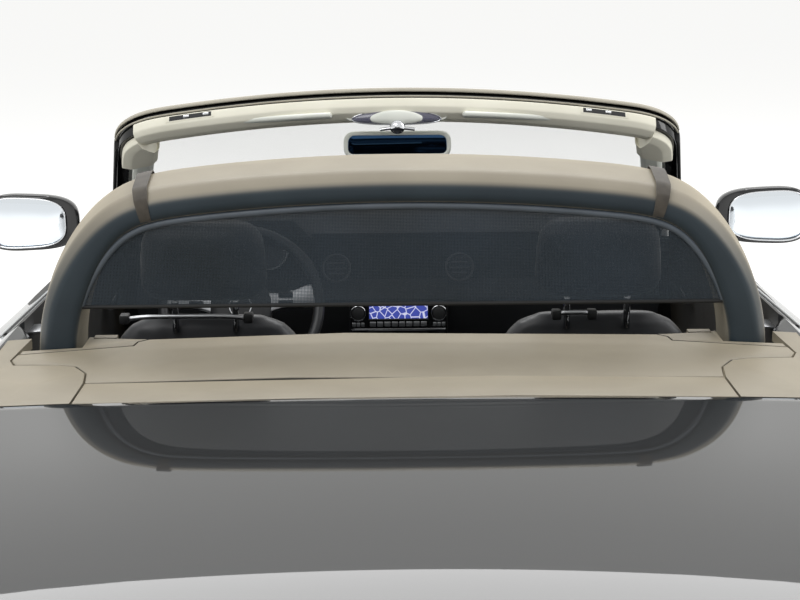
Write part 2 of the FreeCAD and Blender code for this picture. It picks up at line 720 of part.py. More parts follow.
def joined(name, solids):
    union = doc.addObject("Part::MultiFuse", name)
    union.Shapes = solids
    union.Refine = True
    return union


def cutFrom(name, base, tool):
    rest = doc.addObject("Part::Cut", name)
    rest.Base, rest.Tool = base, tool
    return rest


def mirrorOf(name, source):
    copy = doc.addObject("Part::Mirroring", name)
    copy.Source, copy.Normal = source, Vector(1, 0, 0)
    return copy


def asNode(label, thing):
    thing.Label = label
    nodes.append(thing)
    return thing


def newBody(label):
    body = doc.addObject("PartDesign::Body", label)
    return asNode(label, body)


def outline(body, role, name, points, offset=None):
    """A closed polygon on a plane of the body, each point a pair of sums, moved along the plane's normal."""
    plane = next(item for item in body.Origin.OriginFeatures if item.Role == role)
    sketch = body.newObject("Sketcher::SketchObject", name)
    sketch.AttachmentSupport = (plane, "")
    sketch.MapMode = "FlatFace"
    sums = [(formula(u), formula(v)) for u, v in points]
    places = [Vector(float(sketch.evalExpression(u)), float(sketch.evalExpression(v)), 0) for u, v in sums]
    count = len(places)
    for i in range(count):
        sketch.addGeometry(Part.LineSegment(places[i], places[(i + 1) % count]))
    for i in range(count):
        sketch.addConstraint(Sketcher.Constraint("Coincident", i, 2, (i + 1) % count, 1))
    for i, (u, v) in enumerate(sums):
        for kind, text, value in (("DistanceX", u, places[i].x), ("DistanceY", v, places[i].y)):
            number = sketch.addConstraint(Sketcher.Constraint(kind, -1, 1, i, 1, value))
            sketch.setExpression(f"Constraints[{number}]", text)
    if offset is not None:
        sketch.setExpression("AttachmentOffset.Base.z", formula(offset))
    return sketch


def revolved(body, name, sketch, axis="H_Axis"):
    turned = body.newObject("PartDesign::Revolution", name)
    turned.Profile, turned.ReferenceAxis, turned.Angle = sketch, (sketch, [axis]), 360
    return turned


def padded(body, name, sketch, length):
    pad = body.newObject("PartDesign::Pad", name)
    pad.Profile = sketch
    pad.setExpression("Length", formula(length))
    return pad


def aroundAxis(body, name, feature, sketch, count):
    pattern = body.newObject("PartDesign::PolarPattern", name)
    pattern.Originals, pattern.Axis, pattern.Angle = [feature], (sketch, ["N_Axis"]), 360
    pattern.setExpression("Occurrences", formula(count))
    body.Tip = pattern
    return pattern


# Structure under the panels

def bothSides(name, x, y, z):
    """The same box on the right and, mirrored, on the left."""
    right = box(name + "_r", x, y, z)
    left = box(name + "_l", (f"-({x[1]})", f"-({x[0]})"), y, z)
    return [right, left]


floor_top = "floor_z + floor_thickness"
rail_top = "rail_z + rail_height"


def underbody():
    """Floor, tunnel, bulkheads, door posts, chassis rails and front wheel aprons, welded together."""
    front = ("bulkhead_front_y", "bulkhead_front_y + bulkhead_thickness")
    rear = ("bulkhead_rear_y - bulkhead_thickness", "bulkhead_rear_y")
    apron_end = "wing_front_y - 240"
    solids = [
        box("floor", ("-sill_inner_x", "sill_inner_x"), ("jamb_rear_y", front[1]), ("floor_z", floor_top)),
        box("rear_floor", ("-wheelhouse_x", "wheelhouse_x"), (rear[0], "jamb_rear_y"),
            ("floor_z", floor_top)),
        box("tunnel", ("-tunnel_half_width", "tunnel_half_width"), (rear[1], front[0]),
            (floor_top, "tunnel_top_z")),
        box("front_bulkhead", ("-bulkhead_half_width", "bulkhead_half_width"), front,
            (floor_top, "bulkhead_top_z")),
        box("rear_bulkhead", ("-wheelhouse_x", "wheelhouse_x"), rear, (floor_top, "hoop_seat_z")),
        box("rear_bulkhead_top", ("-bulkhead_half_width", "bulkhead_half_width"), rear,
            ("hoop_seat_z - 150", "hoop_seat_z")),
        box("radiator_panel", ("-radiator_half_width", "radiator_half_width"),
            ("radiator_y - 40", "radiator_y"), ("rail_z", "radiator_top_z")),
        box("latch_post", ("-30", "30"), ("radiator_y - 40", "radiator_y"),
            ("radiator_top_z", "nose_seat_z")),
    ]
    solids += bothSides("front_rail", ("rail_x", "rail_x + rail_width"), (front[0], "radiator_y - 40"),
                        ("rail_z", rail_top))
    solids += bothSides("rear_rail", ("rail_x", "rail_x + rail_width"), ("boot_rear_y", rear[1]),
                        ("rear_rail_z", rail_top))
    solids += bothSides("apron", ("rail_x + 65", "rail_x + rail_width"), (front[0], apron_end),
                        (rail_top, "apron_top_z"))
    solids += bothSides("apron_top", ("rail_x + 65", "sill_inner_x"), (front[0], apron_end),
                        ("apron_top_z - 15", "apron_top_z"))
    solids += bothSides("door_post_foot", ("bulkhead_half_width - 20", "sill_inner_x"),
                        ("door_front_y + 25", front[1]), (floor_top, "door_bottom_z"))
    solids += bothSides("door_post", ("bulkhead_half_width - 20", "post_outer_x"),
                        ("door_front_y + 25", front[1]), ("door_bottom_z", "apron_top_z + 60"))
    solids += bothSides("hinge_plate", ("post_outer_x - 10", "post_outer_x + 55"),
                        ("door_front_y + 25", "door_front_y + 55"), ("door_hinge_z - 12", "door_hinge_z"))
    solids += bothSides("rear_post", ("wheelhouse_x", "bulkhead_half_width + 10 - seat_gap"),
                        ("jamb_rear_y", "jamb_rear_y + 45"), (floor_top, "hoop_seat_z - 50"))
    solids += bothSides("rear_post_link", ("wheelhouse_x", "bulkhead_half_width"),
                        (rear[0], "jamb_rear_y + 45"), ("hoop_seat_z - 150", "hoop_seat_z - 50"))
    solids += bothSides("bonnet_hinge", ("bonnet_arm_x + seat_gap", "bonnet_arm_x + 14"),
                        (front[0], "bonnet_rear_y + 100"), ("bulkhead_top_z - 55", "bulkhead_top_z - 14"))
    asNode("underbody", joined("underbody", solids))


def bootTub():
    """Luggage well under the lid and the roof cover, open at the top."""
    side_x, wall = "boot_half_width", "15"
    top = "boot_top_z"
    outer = box("tub_outside", (f"-{side_x}", side_x),
                ("boot_rear_y", "bulkhead_rear_y - bulkhead_thickness - seat_gap"),
                (f"{rail_top} + seat_gap", top))
    inside = box("tub_inside", (f"{wall} - {side_x}", f"{side_x} - {wall}"),
                 (f"boot_rear_y + {wall}", "bulkhead_rear_y - bulkhead_thickness - 20"),
                 (f"{rail_top} + {wall}", f"{top} + 10"))
    shell = cutFrom("tub_shell", outer, inside)
    plates = bothSides("lid_hinge", ("lid_arm_x + seat_gap", f"{side_x} - 5"),
                       ("lid_front_y - 100", "lid_front_y - 40"), ("boot_top_z - 12", "boot_top_z + 18"))
    beam = box("cover_beam", (f"14 - {side_x}", f"{side_x} - 14"),
               ("lid_front_y + gap + strip_depth - 50", "lid_front_y + gap + strip_depth + 45"),
               (f"{top} - 5", f"{top} + cover_beam_height"))
    asNode("boot_tub", joined("boot_tub", [shell, beam] + plates))


def engine():
    """Engine and clutch housing as one plain block between the chassis rails."""
    block_solid = box("engine_block", ("-engine_width / 2", "engine_width / 2"),
                      ("engine_y", "engine_y + engine_length"), ("engine_z", "engine_z + engine_height"))
    mounts = bothSides("engine_mount", ("engine_width / 2 - 5", "rail_x - seat_gap"),
                       ("engine_y + 260", "engine_y + 340"), ("rail_z + 20", f"{rail_top} - 20"))
    gearbox = box("gearbox", ("-110", "110"),
                  ("bulkhead_front_y + bulkhead_thickness + seat_gap", "engine_y"),
                  ("engine_z + 20", "engine_z + 200"))
    asNode("engine", joined("engine", [block_solid, gearbox] + mounts))


# Axles, wheels and steering

across = Rotation(Vector(0, 1, 0), 90)


def frontAxle():
    """Subframe with the lower control arms and their ball joints."""
    solids = [box("front_crossmember", ("-rail_x - rail_width", "rail_x + rail_width"),
                  ("front_axle_y - 60", "front_axle_y + 60"), ("arm_z - 10", "engine_z - 12"))]
    solids += bothSides("subframe_mount", ("rail_x + 10", "rail_x + rail_width - 10"),
                        ("front_axle_y - 50", "front_axle_y + 50"), ("engine_z - 20", "rail_z - seat_gap"))
    solids += bothSides("lower_arm", ("rail_x + rail_width - 20", "kingpin_x + 6"),
                        ("front_axle_y - 20", "front_axle_y + 20"), ("arm_z", "arm_z + 30"))
    asNode("front_axle", joined("front_axle", solids))


def rearAxle():
    """Final drive, half shafts, arms and hub carriers."""
    hub_end = "rear_track / 2 - hub_inset"
    solids = [
        box("final_drive", ("-120", "120"),
            ("front_axle_y - wheelbase - 110", "front_axle_y - wheelbase + 110"),
            ("tyre_radius - 90", "rail_z + rail_height - 1")),
        rod("half_shafts", "26", f"2 * ({hub_end})",
            (f"-({hub_end})", "front_axle_y - wheelbase", "tyre_radius"), across),
        box("rear_crossmember", ("-rail_x - rail_width", "rail_x + rail_width"),
            ("front_axle_y - wheelbase - 130", "front_axle_y - wheelbase - 70"),
            ("rail_z - 60", "rear_rail_z - seat_gap")),
    ]
    for side, sign in (("r", 1), ("l", -1)):
        base_x = f"{hub_end} - 60" if sign > 0 else f"-({hub_end})"
        solids.append(rod("rear_hub_" + side, "hub_radius", "60",
                          (base_x, "front_axle_y - wheelbase", "tyre_radius"), across))
    solids += bothSides("rear_arm", ("rail_x + rail_width - 20", f"{hub_end} - 12"),
                        ("front_axle_y - wheelbase - 125", "front_axle_y - wheelbase - 85"),
                        ("rail_z - 55", "rail_z - 20"))
    solids += bothSides("rear_arm_end", (f"{hub_end} - 52", f"{hub_end} - 12"),
                        ("front_axle_y - wheelbase - 125", "front_axle_y - wheelbase"),
                        ("rail_z - 55", "rail_z - 20"))
    asNode("rear_axle", joined("rear_axle", solids))


def knuckles():
    """Front hub carriers with their brake calipers; each turns on the ball joint above its arm."""
    hub_end = "front_track / 2 - hub_inset"
    solids = [
        box("carrier", (f"{hub_end} - 62", f"{hub_end} - 30"), ("front_axle_y - 45", "front_axle_y + 45"),
            ("arm_z + 30 + seat_gap", "tyre_radius + 120")),
        rod("spindle", "hub_radius", "40", (f"{hub_end} - 40", "front_axle_y", "tyre_radius"), across),
        box("caliper", (f"{hub_end} - 45", f"{hub_end} + disc_thickness + 26"),
            ("front_axle_y - 188", "front_axle_y - 100"), ("tyre_radius - 70", "tyre_radius + 70")),
        box("caliper_bracket", (f"{hub_end} - 45", f"{hub_end} - 32"),
            ("front_axle_y - 130", "front_axle_y - 20"), ("tyre_radius - 40", "tyre_radius + 40")),
    ]
    slot = box("disc_slot", (f"{hub_end} - 6", f"{hub_end} + disc_thickness + 6"),
               ("front_axle_y - disc_radius - 8", "front_axle_y - 90"),
               ("tyre_radius - 90", "tyre_radius + 90"))
    right = asNode("knuckle_right", cutFrom("knuckle_right", joined("knuckle_solid", solids), slot))
    asNode("knuckle_left", mirrorOf("knuckle_left", right))


tyre_facets = 40


def tyreShape(width):
    """Tyre round the local X axis, with flat facets: beads, bulged sidewalls and rounded shoulders."""
    bead_radius = (size("rim_seat_radius") + 2 * seat_gap) / math.cos(math.pi / tyre_facets)
    radius, half = size("tyre_radius"), width / 2
    profile = ((half - 36, bead_radius), (half - 4, bead_radius + 22), (half, radius - 55),
               (half - 8, radius - 18), (half - 30, radius))
    rings = profile + tuple((-x, r) for x, r in reversed(profile))

    def corner(ring, turn):
        x, r = rings[ring % len(rings)]
        angle = math.tau * turn / tyre_facets
        return Vector(x, r * math.cos(angle), r * math.sin(angle))

    facets = [
        Part.Face(Part.makePolygon([corner(ring, turn), corner(ring + 1, turn), corner(ring + 1, turn + 1),
                                    corner(ring, turn + 1), corner(ring, turn)]))
        for ring in range(len(rings)) for turn in range(tyre_facets)
    ]
    band = Part.makeShell(facets)
    band.sewShape()
    tyre = Part.Solid(band)
    if tyre.Volume < 0:
        tyre.reverse()
    return tyre


def wheel(place, axle_y, track, width):
    """Rim with its hub, brake disc and paired spokes, and the tyre on it. Outboard is the local +X."""
    half = f"{width} / 2 - 14"
    seat, lip = "rim_seat_radius", "rim_seat_radius + rim_lip"
    bore = "rim_seat_radius - rim_wall"
    rim = newBody("rim_" + place)
    barrel = outline(rim, "XZ_Plane", "barrel_" + place, [
        (f"-({half})", lip), (f"-({half})", bore), (half, bore), (half, lip),
        (f"{half} - 16", seat), (f"16 - ({half})", seat)])
    revolved(rim, "ring_" + place, barrel)
    face = f"{half} - 34"
    hub = outline(rim, "XZ_Plane", "hub_outline_" + place, [
        ("seat_gap - hub_inset", "12"), ("seat_gap - hub_inset", "hub_radius"),
        (f"{face} + 6", "hub_radius"), (f"{face} + 6", "12")])
    revolved(rim, "hub_" + place, hub)
    disc = outline(rim, "XZ_Plane", "disc_outline_" + place, [
        ("seat_gap - hub_inset", "hub_radius - 10"), ("seat_gap - hub_inset", "disc_radius"),
        ("disc_thickness - hub_inset", "disc_radius"), ("disc_thickness - hub_inset", "hub_radius - 10")])
    revolved(rim, "disc_" + place, disc)
    for number, lean in (("a", -1), ("b", 1)):
        spoke = outline(rim, "YZ_Plane", f"spoke_outline_{place}_{number}", [
            (f"{lean * 18} - 12", "hub_radius - 14"), (f"{lean * 18} + 12", "hub_radius - 14"),
            (f"{lean * 46} + 12", f"{bore} + 5"), (f"{lean * 46} - 12", f"{bore} + 5")], face)
        pad = padded(rim, f"spoke_{place}_{number}", spoke, "22")
        aroundAxis(rim, f"spokes_{place}_{number}", pad, spoke, "spoke_count")
    tyre = node("tyre_" + place, tyreShape(size(width)))
    side = 1 if place.endswith("right") else -1
    for body in (rim, tyre):
        body.Placement = Placement(Vector(), Rotation(Vector(0, 0, 1), 0 if side > 0 else 180))
        body.setExpression(".Placement.Base.x", formula(f"{side} * {track} / 2"))
        body.setExpression(".Placement.Base.y", formula(axle_y))
        body.setExpression(".Placement.Base.z", formula("tyre_radius"))


# Roof cover, roll-over hoop and wind deflector

def prism(points, z0, z1):
    """An upright prism over a closed outline of corners."""
    corners = [Vector(x, y, z0) for x, y in points]
    face = Part.Face(Part.makePolygon(corners + corners[:1]))
    return face.extrude(Vector(0, 0, z1 - z0))


def crownSlab():
    """Crowned sheet over the roof's stowage, between the cockpit and the boot lid."""
    rear_y, front_y = size("lid_front_y") + gap, size("cover_side_front_y")
    return loft([deckSection(y, size("shelf_thickness")) for y in (rear_y, rear_axle_y, front_y)])


# Outline of the hoop seen from behind, right half: x, z, and the direction that faces outward there.
hoop_outline = (
    (642, 925, 1.00, 0.00),
    (640, 984, 0.99, 0.10),
    (613, 1079, 0.93, 0.36),
    (549, 1180, 0.76, 0.65),
    (514, 1212, 0.62, 0.78),
    (427, 1244, 0.17, 0.98),
    (0, 1271, 0.00, 1.00),
)


def hoopRing(y, depth):
    """The hoop's outline at one place along the car, moved inward by a depth and closed under the feet."""
    right = [Vector(x - out_x * depth, y, z - out_z * depth) for x, z, out_x, out_z in hoop_outline]
    left = [Vector(-point.x, y, point.z) for point in right]
    return closedWire([
        [right[0], right[1]],
        right[1:4],
        right[3:6],
        [right[5], right[6], left[5]],
        [left[5], left[4], left[3]],
        [left[3], left[2], left[1]],
        [left[1], left[0]],
        [left[0], right[0]],
    ])


def hoopOpening(grow, y0, y1):
    """The space inside the hoop, as a solid."""
    return loft([hoopRing(y, size("hoop_height") - grow) for y in (y0, y1)], True)


def rollHoop():
    """Roll-over hoop with a crowned top, its legs down to the rear bulkhead."""
    rear = size("hoop_y") - size("hoop_depth") / 2
    front = rear + size("hoop_depth")
    rounds = ((rear, 33), (rear + 6, 24), (rear + 22, 16), (front - 50, 2), (front - 22, 0), (front - 5, 8),
              (front, 20))
    outside = loft([hoopRing(y, depth) for y, depth in rounds], True)
    hoop = outside.cut(hoopOpening(0, rear - 1, front + 1))
    x = size("hoop_foot_x")
    feet = [block(side * x - 34, side * x + 34, size("bulkhead_rear_y") - size("bulkhead_thickness"),
                  size("hoop_y") + 60, size("hoop_seat_z") + seat_gap, 940) for side in (-1, 1)]
    node("roll_hoop", fused([hoop] + feet))


def windDeflector():
    """Thin frame along the inside of the hoop with a mesh sheet in it, and a hem along the bottom."""
    y, frame = size("deflector_y"), size("deflector_frame")
    space = hoopOpening(-seat_gap, y - frame, y)
    above = block(-700, 700, y - frame, y, size("deflector_bottom_z"), 1300)
    plate = space.common(above)
    hole = hoopOpening(-seat_gap - frame, y - frame, y).common(
        block(-700, 700, y - frame, y, size("deflector_bottom_z") + frame, 1300))
    mesh = hoopOpening(-seat_gap - 2, y - frame / 2 - 1, y - frame / 2 + 1).common(
        block(-700, 700, y - frame, y, size("deflector_bottom_z") + 2, 1300))
    node("wind_deflector", fused([plate.cut(hole), mesh]))


def roofCover():
    """Crowned panels over the stowage: rear strip, middle, corners and surrounds of the hoop's legs."""
    slab = crownSlab()
    rear, front = size("lid_front_y") + gap, size("shelf_front_y")
    side_front = size("cover_side_front_y")
    strip_y = rear + size("strip_depth")
    half = seam / 2
    outer = 720
    middle_shape = [
        (507, strip_y + half), (514, -1162), (538, -1114), (568, -1100), (645, -1084), (658, -1050),
        (656, -1011),
        (461, -991), (457, -965), (440, front)]
    corner_shape = [
        (512, rear), (510, strip_y), (517, -1163), (541, -1118), (569, -1104), (648, -1088), (661, -1051),
        (659, -1010), (655, side_front), (outer, side_front), (outer, rear)]
    surround_shape = [
        (653, -1008), (463, -988), (459, -962), (443, front + half), (456, -946), (529, -922), (639, -845),
        (652, side_front)]

    def both(shape):
        return shape + [(-x, y) for x, y in reversed(shape)]

    tub_z, bulkhead_z = size("boot_top_z") + seat_gap, size("hoop_seat_z") + seat_gap
    under_z = size("shelf_z") - size("shelf_thickness") - 4
    strip = slab.common(prism(both([(509, rear), (507, strip_y - half)]), 800, 1100))
    beam_z = tub_z + size("cover_beam_height")
    strip_feet = [block(side * 400 - 20, side * 400 + 20, strip_y - 40, strip_y - 10, beam_z, under_z)
                  for side in (-1, 1)]
    node("roof_cover_strip", fused([strip] + strip_feet))
    middle = slab.common(prism(both(middle_shape), 800, 1100))
    middle_feet = [block(side * 300 - 20, side * 300 + 20, strip_y + 10, strip_y + 35, beam_z, under_z + 4)
                   for side in (-1, 1)]
    node("roof_cover_middle", fused([middle] + middle_feet))
    body_edge = loft([deckSection(y, 60, -2) for y in (rear, rear_axle_y, side_front)])
    corner = slab.common(prism(corner_shape, 800, 1100)).common(body_edge)
    corner_foot = block(588, 598, rear + 20, rear + 120, tub_z, 962)
    pair("roof_cover_corner", fused([corner, corner_foot]))
    leg_hole = block(550, 656, size("hoop_y") - 80, size("hoop_y") + 80, 900, 1000)
    surround = slab.common(prism(surround_shape, 800, 1100)).cut(leg_hole)
    foot = block(500, 540, -925, -905, bulkhead_z, 962)
    pair("hoop_surround", fused([surround, foot]))


# Windscreen: an upright sheet curved about its own up direction, cut by outlines in its plane

screen_base = Vector(0, size("screen_base_y"), size("screen_base_z"))
screen_rise = Vector(0, size("screen_top_y"), size("screen_top_z")) - screen_base
screen_up = Vector(screen_rise).normalize()
screen_out = Vector(0, screen_up.z, -screen_up.y)
screen_length = screen_rise.Length


def onScreen(across_x, up, out=0.0):
    """A place given across the windscreen, up along it and out from its middle line."""
    return screen_base + Vector(across_x, 0, 0) + screen_up * up + screen_out * out


def screenSheet(outer, inner, bottom=-60, top=160):
    """Curved sheet between two distances from the glass's outer face."""
    half = 800

    def arc(out):
        bow = size("screen_bow") * (half / size("screen_corner_x")) ** 2
        return [onScreen(-half, bottom, out - bow), onScreen(0, bottom, out),
                onScreen(half, bottom, out - bow)]

    front, back = arc(outer), arc(inner)
    ring = closedWire([front, [front[2], back[2]], list(reversed(back)), [back[0], front[0]]])
    return Part.Face(ring).extrude(screen_up * (screen_length + top - bottom))


def screenOutline(inward):
    """Prism over the windscreen's outline: bowed base and header, straight pillars and round corners."""
    foot_x, corner_x = size("screen_foot_x") - inward, size("screen_corner_x") + 22 - inward
    foot_up, corner_up = 52 + inward, screen_length + 40 - inward
    middle_up, base_up = screen_length - inward, inward
    lean = (foot_x - corner_x) / (corner_up - foot_up)
    turn = 75
    start = (corner_x + lean * turn, corner_up - turn)
    finish = (corner_x - turn, corner_up - 6)
    bend = (corner_x - turn * 0.27, corner_up - turn * 0.3)

    def at(place, side=1):
        return onScreen(side * place[0], place[1], -300)

    wire = closedWire([
        [at((foot_x, foot_up), -1), at((0, base_up)), at((foot_x, foot_up))],
        [at((foot_x, foot_up)), at(start)],
        [at(start), at(bend), at(finish)],
        [at(finish), at((0, middle_up)), at(finish, -1)],
        [at(finish, -1), at(bend, -1), at(start, -1)],
        [at(start, -1), at((foot_x, foot_up), -1)],
    ])
    return Part.Face(wire).extrude(screen_out * 600)


def screenSpace(grow):
    """Room for the windscreen frame and its trim."""
    deep = size("pillar_depth") + 12
    return screenSheet(4 + grow, 4 - deep - grow).common(screenOutline(-grow))


def windscreen():
    width, depth = size("pillar_width"), size("pillar_depth")
    glass = size("screen_glass")
    frame = screenSheet(4, 4 - depth).common(screenOutline(0)).cut(screenOutline(width))
    pane = screenSheet(0, -glass).common(screenOutline(width + seat_gap))
    post_top = size("apron_top_z") + 60
    feet = [block(side * 696 - 16, side * 696 + 16, 640, 700, post_top + seat_gap, 850) for side in (-1, 1)]
    ring = fused([frame] + feet)
    node("windscreen_frame", ring)
    node("windscreen", pane)
    trim = screenSheet(4 - depth - seat_gap, -8 - depth).common(screenOutline(12))
    trim = trim.cut(screenOutline(width + 14))
    trim = trim.cut(block(-900, 900, 560, 900, 600, 1000))
    node("windscreen_trim", trim)


# Cabin

def visors():
    """Two sun visors folded up under the header."""
    back = 4 - size("pillar_depth") - 12 - seat_gap
    shapes = []
    for side in (-1, 1):
        low, high = screen_length - 170, screen_length - 10
        corners = [onScreen(side * 144, high), onScreen(side * 520, high + 24),
                   onScreen(side * 510, low + 24), onScreen(side * 160, low)]
        face = Part.Face(Part.makePolygon(corners + corners[:1]))
        face.translate(screen_out * -300)
        shapes.append(screenSheet(back, back - 18).common(face.extrude(screen_out * 600)))
    node("sun_visors", fused(shapes))


def dashboard():
    """Padded dashboard with instrument hood, display unit, steering column and knee panel."""
    body = newBody("dashboard")
    front = "bulkhead_front_y - seat_gap"
    profile = outline(body, "YZ_Plane", "dashboard_profile", [
        (front, "dash_top_z - 5"), ("dash_rear_y + 60", "dash_top_z"),
        ("dash_rear_y + 10", "dash_top_z - 25"),
        ("dash_rear_y + 50", "dash_top_z - 150"), ("dash_rear_y", "dash_top_z - 190"),
        ("dash_rear_y + 90", "dash_top_z - 350"), (front, "dash_top_z - 370")], "-dash_half_width")
    padded(body, "dashboard_pad", profile, "2 * dash_half_width")
    display = outline(body, "XZ_Plane", "display_outline", [
        ("-display_half_width", "display_z - 38"), ("display_half_width", "display_z - 38"),
        ("display_half_width", "display_z + 38"), ("-display_half_width", "display_z + 38")],
        "-dash_rear_y - 90")
    padded(body, "display_unit", display, "105")
    hood = outline(body, "XZ_Plane", "hood_outline", [
        ("column_x - 165", "dash_top_z - 30"), ("column_x + 165", "dash_top_z - 30"),
        ("column_x + 120", "dash_top_z + 18"), ("column_x - 120", "dash_top_z + 18")],
        "-dash_rear_y - 150")
    padded(body, "instrument_hood", hood, "180")
    reach = 42 + seat_gap
    lean = math.radians(size("steering_tilt"))
    column_end = ("column_x", f"steering_y + {reach * math.cos(lean):.2f}",
                  f"steering_z - {reach * math.sin(lean):.2f}")
    column = rod("steering_column", "32", "240", column_end, columnTurn())
    nodes.remove(body)
    body.Label = "dashboard_pad_body"
    over = doc.addObject("Part::Feature", "screen_clearance")
    over.Shape = screenSheet(400, 4 - size("pillar_depth") - seat_gap)
    asNode("dashboard", cutFrom("dashboard", joined("dashboard_solid", [body, column]), over))


def columnTurn():
    """From the upright Z to the steering column, which runs forward and down."""
    return Rotation(Vector(1, 0, 0), -90 - size("steering_tilt"))


def steeringWheel():
    """Six-sided rim section, three spokes and an airbag cover, made about its own axis and then leaned."""
    body = newBody("steering_wheel")
    tube, radius = "steering_rim_tube", "steering_rim_radius"
    rim = outline(body, "XZ_Plane", "rim_section", [
        (f"-{tube}", radius), (f"-{tube} / 2", f"{radius} - {tube}"), (f"{tube} / 2", f"{radius} - {tube}"),
        (tube, radius), (f"{tube} / 2", f"{radius} + {tube}"), (f"-{tube} / 2", f"{radius} + {tube}")])
    revolved(body, "rim_tube", rim)
    hub = outline(body, "YZ_Plane", "airbag_outline", [
        ("-78", "40"), ("-62", "-62"), ("62", "-62"), ("78", "40"), ("50", "66"), ("-50", "66")], "-8")
    padded(body, "airbag_cover", hub, "50")
    arms = outline(body, "YZ_Plane", "side_spokes_outline", [
        (f"-{radius}", "-14"), (radius, "-14"), (radius, "22"), (f"-{radius}", "22")], "0")
    padded(body, "side_spokes", arms, "10")
    low = outline(body, "YZ_Plane", "low_spoke_outline", [
        ("-24", f"-{radius}"), ("24", f"-{radius}"), ("20", "-50"), ("-20", "-50")], "0")
    padded(body, "low_spoke", low, "10")
    body.Placement = Placement(Vector(), Rotation(Vector(1, 0, 0), -size("steering_tilt"))
                               .multiply(Rotation(Vector(0, 0, 1), 90)))
    for axis, text in zip("xyz", ("column_x", "steering_y", "steering_z")):
        body.setExpression(f".Placement.Base.{axis}", formula(text))


def console():
    """Centre console on the tunnel, from the dashboard back between the seats."""
    width = "tunnel_half_width - 5"
    tunnel_top = "tunnel_top_z + seat_gap"
    solids = [
        box("console_front", (f"-({width})", width), ("-60", "dash_rear_y + 160"),
            (tunnel_top, "tunnel_top_z + 120")),
        box("console_rear", (f"40 - ({width})", f"{width} - 40"), ("-480", "-50"),
            (tunnel_top, "tunnel_top_z + 220")),
        box("console_stack", ("-display_half_width", "display_half_width"),
            ("dash_rear_y + 20", "dash_rear_y + 160"), ("tunnel_top_z + 100", "dash_top_z - 372")),
        rod("selector", "22", "70", ("0", "60", "tunnel_top_z + 115")),
        box("partition", ("-95", "95"), ("bulkhead_rear_y + seat_gap", "bulkhead_rear_y + 60"),
            (tunnel_top, "hoop_seat_z")),
    ]
    asNode("centre_console", joined("centre_console", solids[:4]))
    asNode("rear_partition", solids[4])


def seatShape():
    """Cushion with side bolsters, backrest, head restraint and rails; the middle is at the seat's own X."""
    x, half = size("seat_x"), size("seat_width") / 2
    cushion_z, back_y = size("seat_cushion_z"), size("seat_back_y")

    def slab(y0, y1, z, side):
        plan = (x - side, y0), (x + side, y0), (x + side, y1), (x - side, y1)
        a, b, c, d = (Vector(*corner, z) for corner in plan)
        return closedWire([[a, b], [b, c], [c, d], [d, a]])

    cushion = block(x - half + 6, x + half - 6, back_y + 150, 20, cushion_z - 170, cushion_z - 10)
    cushion = cushion.makeChamfer(24, [e for e in cushion.Edges if e.BoundBox.ZMin > cushion_z - 20])
    bolsters = []
    for side in (-1, 1):
        middle = x + side * (half - 42)
        bolster = block(middle - 42, middle + 42, back_y + 150, -20, cushion_z - 150, cushion_z + 25)
        bolsters.append(bolster.makeChamfer(22, [e for e in bolster.Edges if e.BoundBox.ZMin > cushion_z]))
    top_z = size("seat_top_z")
    back = loft([slab(back_y + 110, back_y + 260, cushion_z - 120, half),
                 slab(back_y + 55, back_y + 215, 640, half),
                 slab(back_y, back_y + 120, top_z - 20, half - 50)])
    restraint = block(x - 140, x + 140, back_y - 25, back_y + 80, top_z + 12, size("head_restraint_top_z"))
    restraint = restraint.makeChamfer(24, restraint.Edges)
    stalks = [Part.makeCylinder(7, 90, Vector(x + side * 60, back_y + 30, top_z - 50)) for side in (-1, 1)]
    floor = size("floor_z") + size("floor_thickness") + seat_gap
    rails = [block(x + side * 180 - 20, x + side * 180 + 20, back_y + 180, -20, floor, cushion_z - 160)
             for side in (-1, 1)]
    return fused([cushion, back, restraint] + bolsters + stalks + rails)


def interiorMirror():
    """Mirror on a stalk from the console behind the windscreen header."""
    half_width, mirror_z = size("inside_mirror_half_width"), size("inside_mirror_z")
    housing_box = block(-half_width, half_width, 196, 226, mirror_z - 32, mirror_z + 32)
    housing = housing_box.makeChamfer(12, [e for e in housing_box.Edges if e.BoundBox.YLength > 20])
    header = screenOutline(0).cut(screenOutline(size("pillar_width") + 14))
    foot = screenSheet(-size("screen_glass") - seat_gap, -34, 0, 0)
    foot = foot.common(block(-70, 70, 100, 400, 1120, 1300)).cut(header)
    stalk = Part.makeCylinder(9, 52, Vector(0, 222, mirror_z + 4), Vector(0, 0.75, 0.66))
    node("interior_mirror", fused([housing, foot, stalk]))


def cowl():
    """Scuttle panel between the bonnet and the windscreen, with the two wiper arms parked on it."""
    front, half = size("bonnet_rear_y") - gap, size("bulkhead_half_width")
    floor = size("bulkhead_top_z") + seat_gap
    plate = block(2 - half, half - 2, 706, front, floor, floor + 12)
    lip = loft([deckSection(y, 24, 12) for y in (front - 18, front)])
    stand = block(20 - half, half - 20, front - 14, front - 4, floor, 880)
    cover = fused([plate, lip, stand])
    node("cowl_panel", cover.cut(screenSheet(8, -60).common(screenOutline(-4))))


def wipers():
    """Two arms parked along the foot of the windscreen, curved as the glass is."""
    sheet_over = screenSheet(14, 4 + seat_gap)
    shapes = []
    for base_x, tip_x in ((-560, -40), (60, 560)):
        corners = [onScreen(base_x - 12, 52, -300), onScreen(base_x + 12, 22, -300),
                   onScreen(tip_x, 62, -300), onScreen(tip_x, 74, -300)]
        face = Part.Face(Part.makePolygon(corners + corners[:1]))
        shapes.append(sheet_over.common(face.extrude(screen_out * 600)))
    node("wipers", fused(shapes))


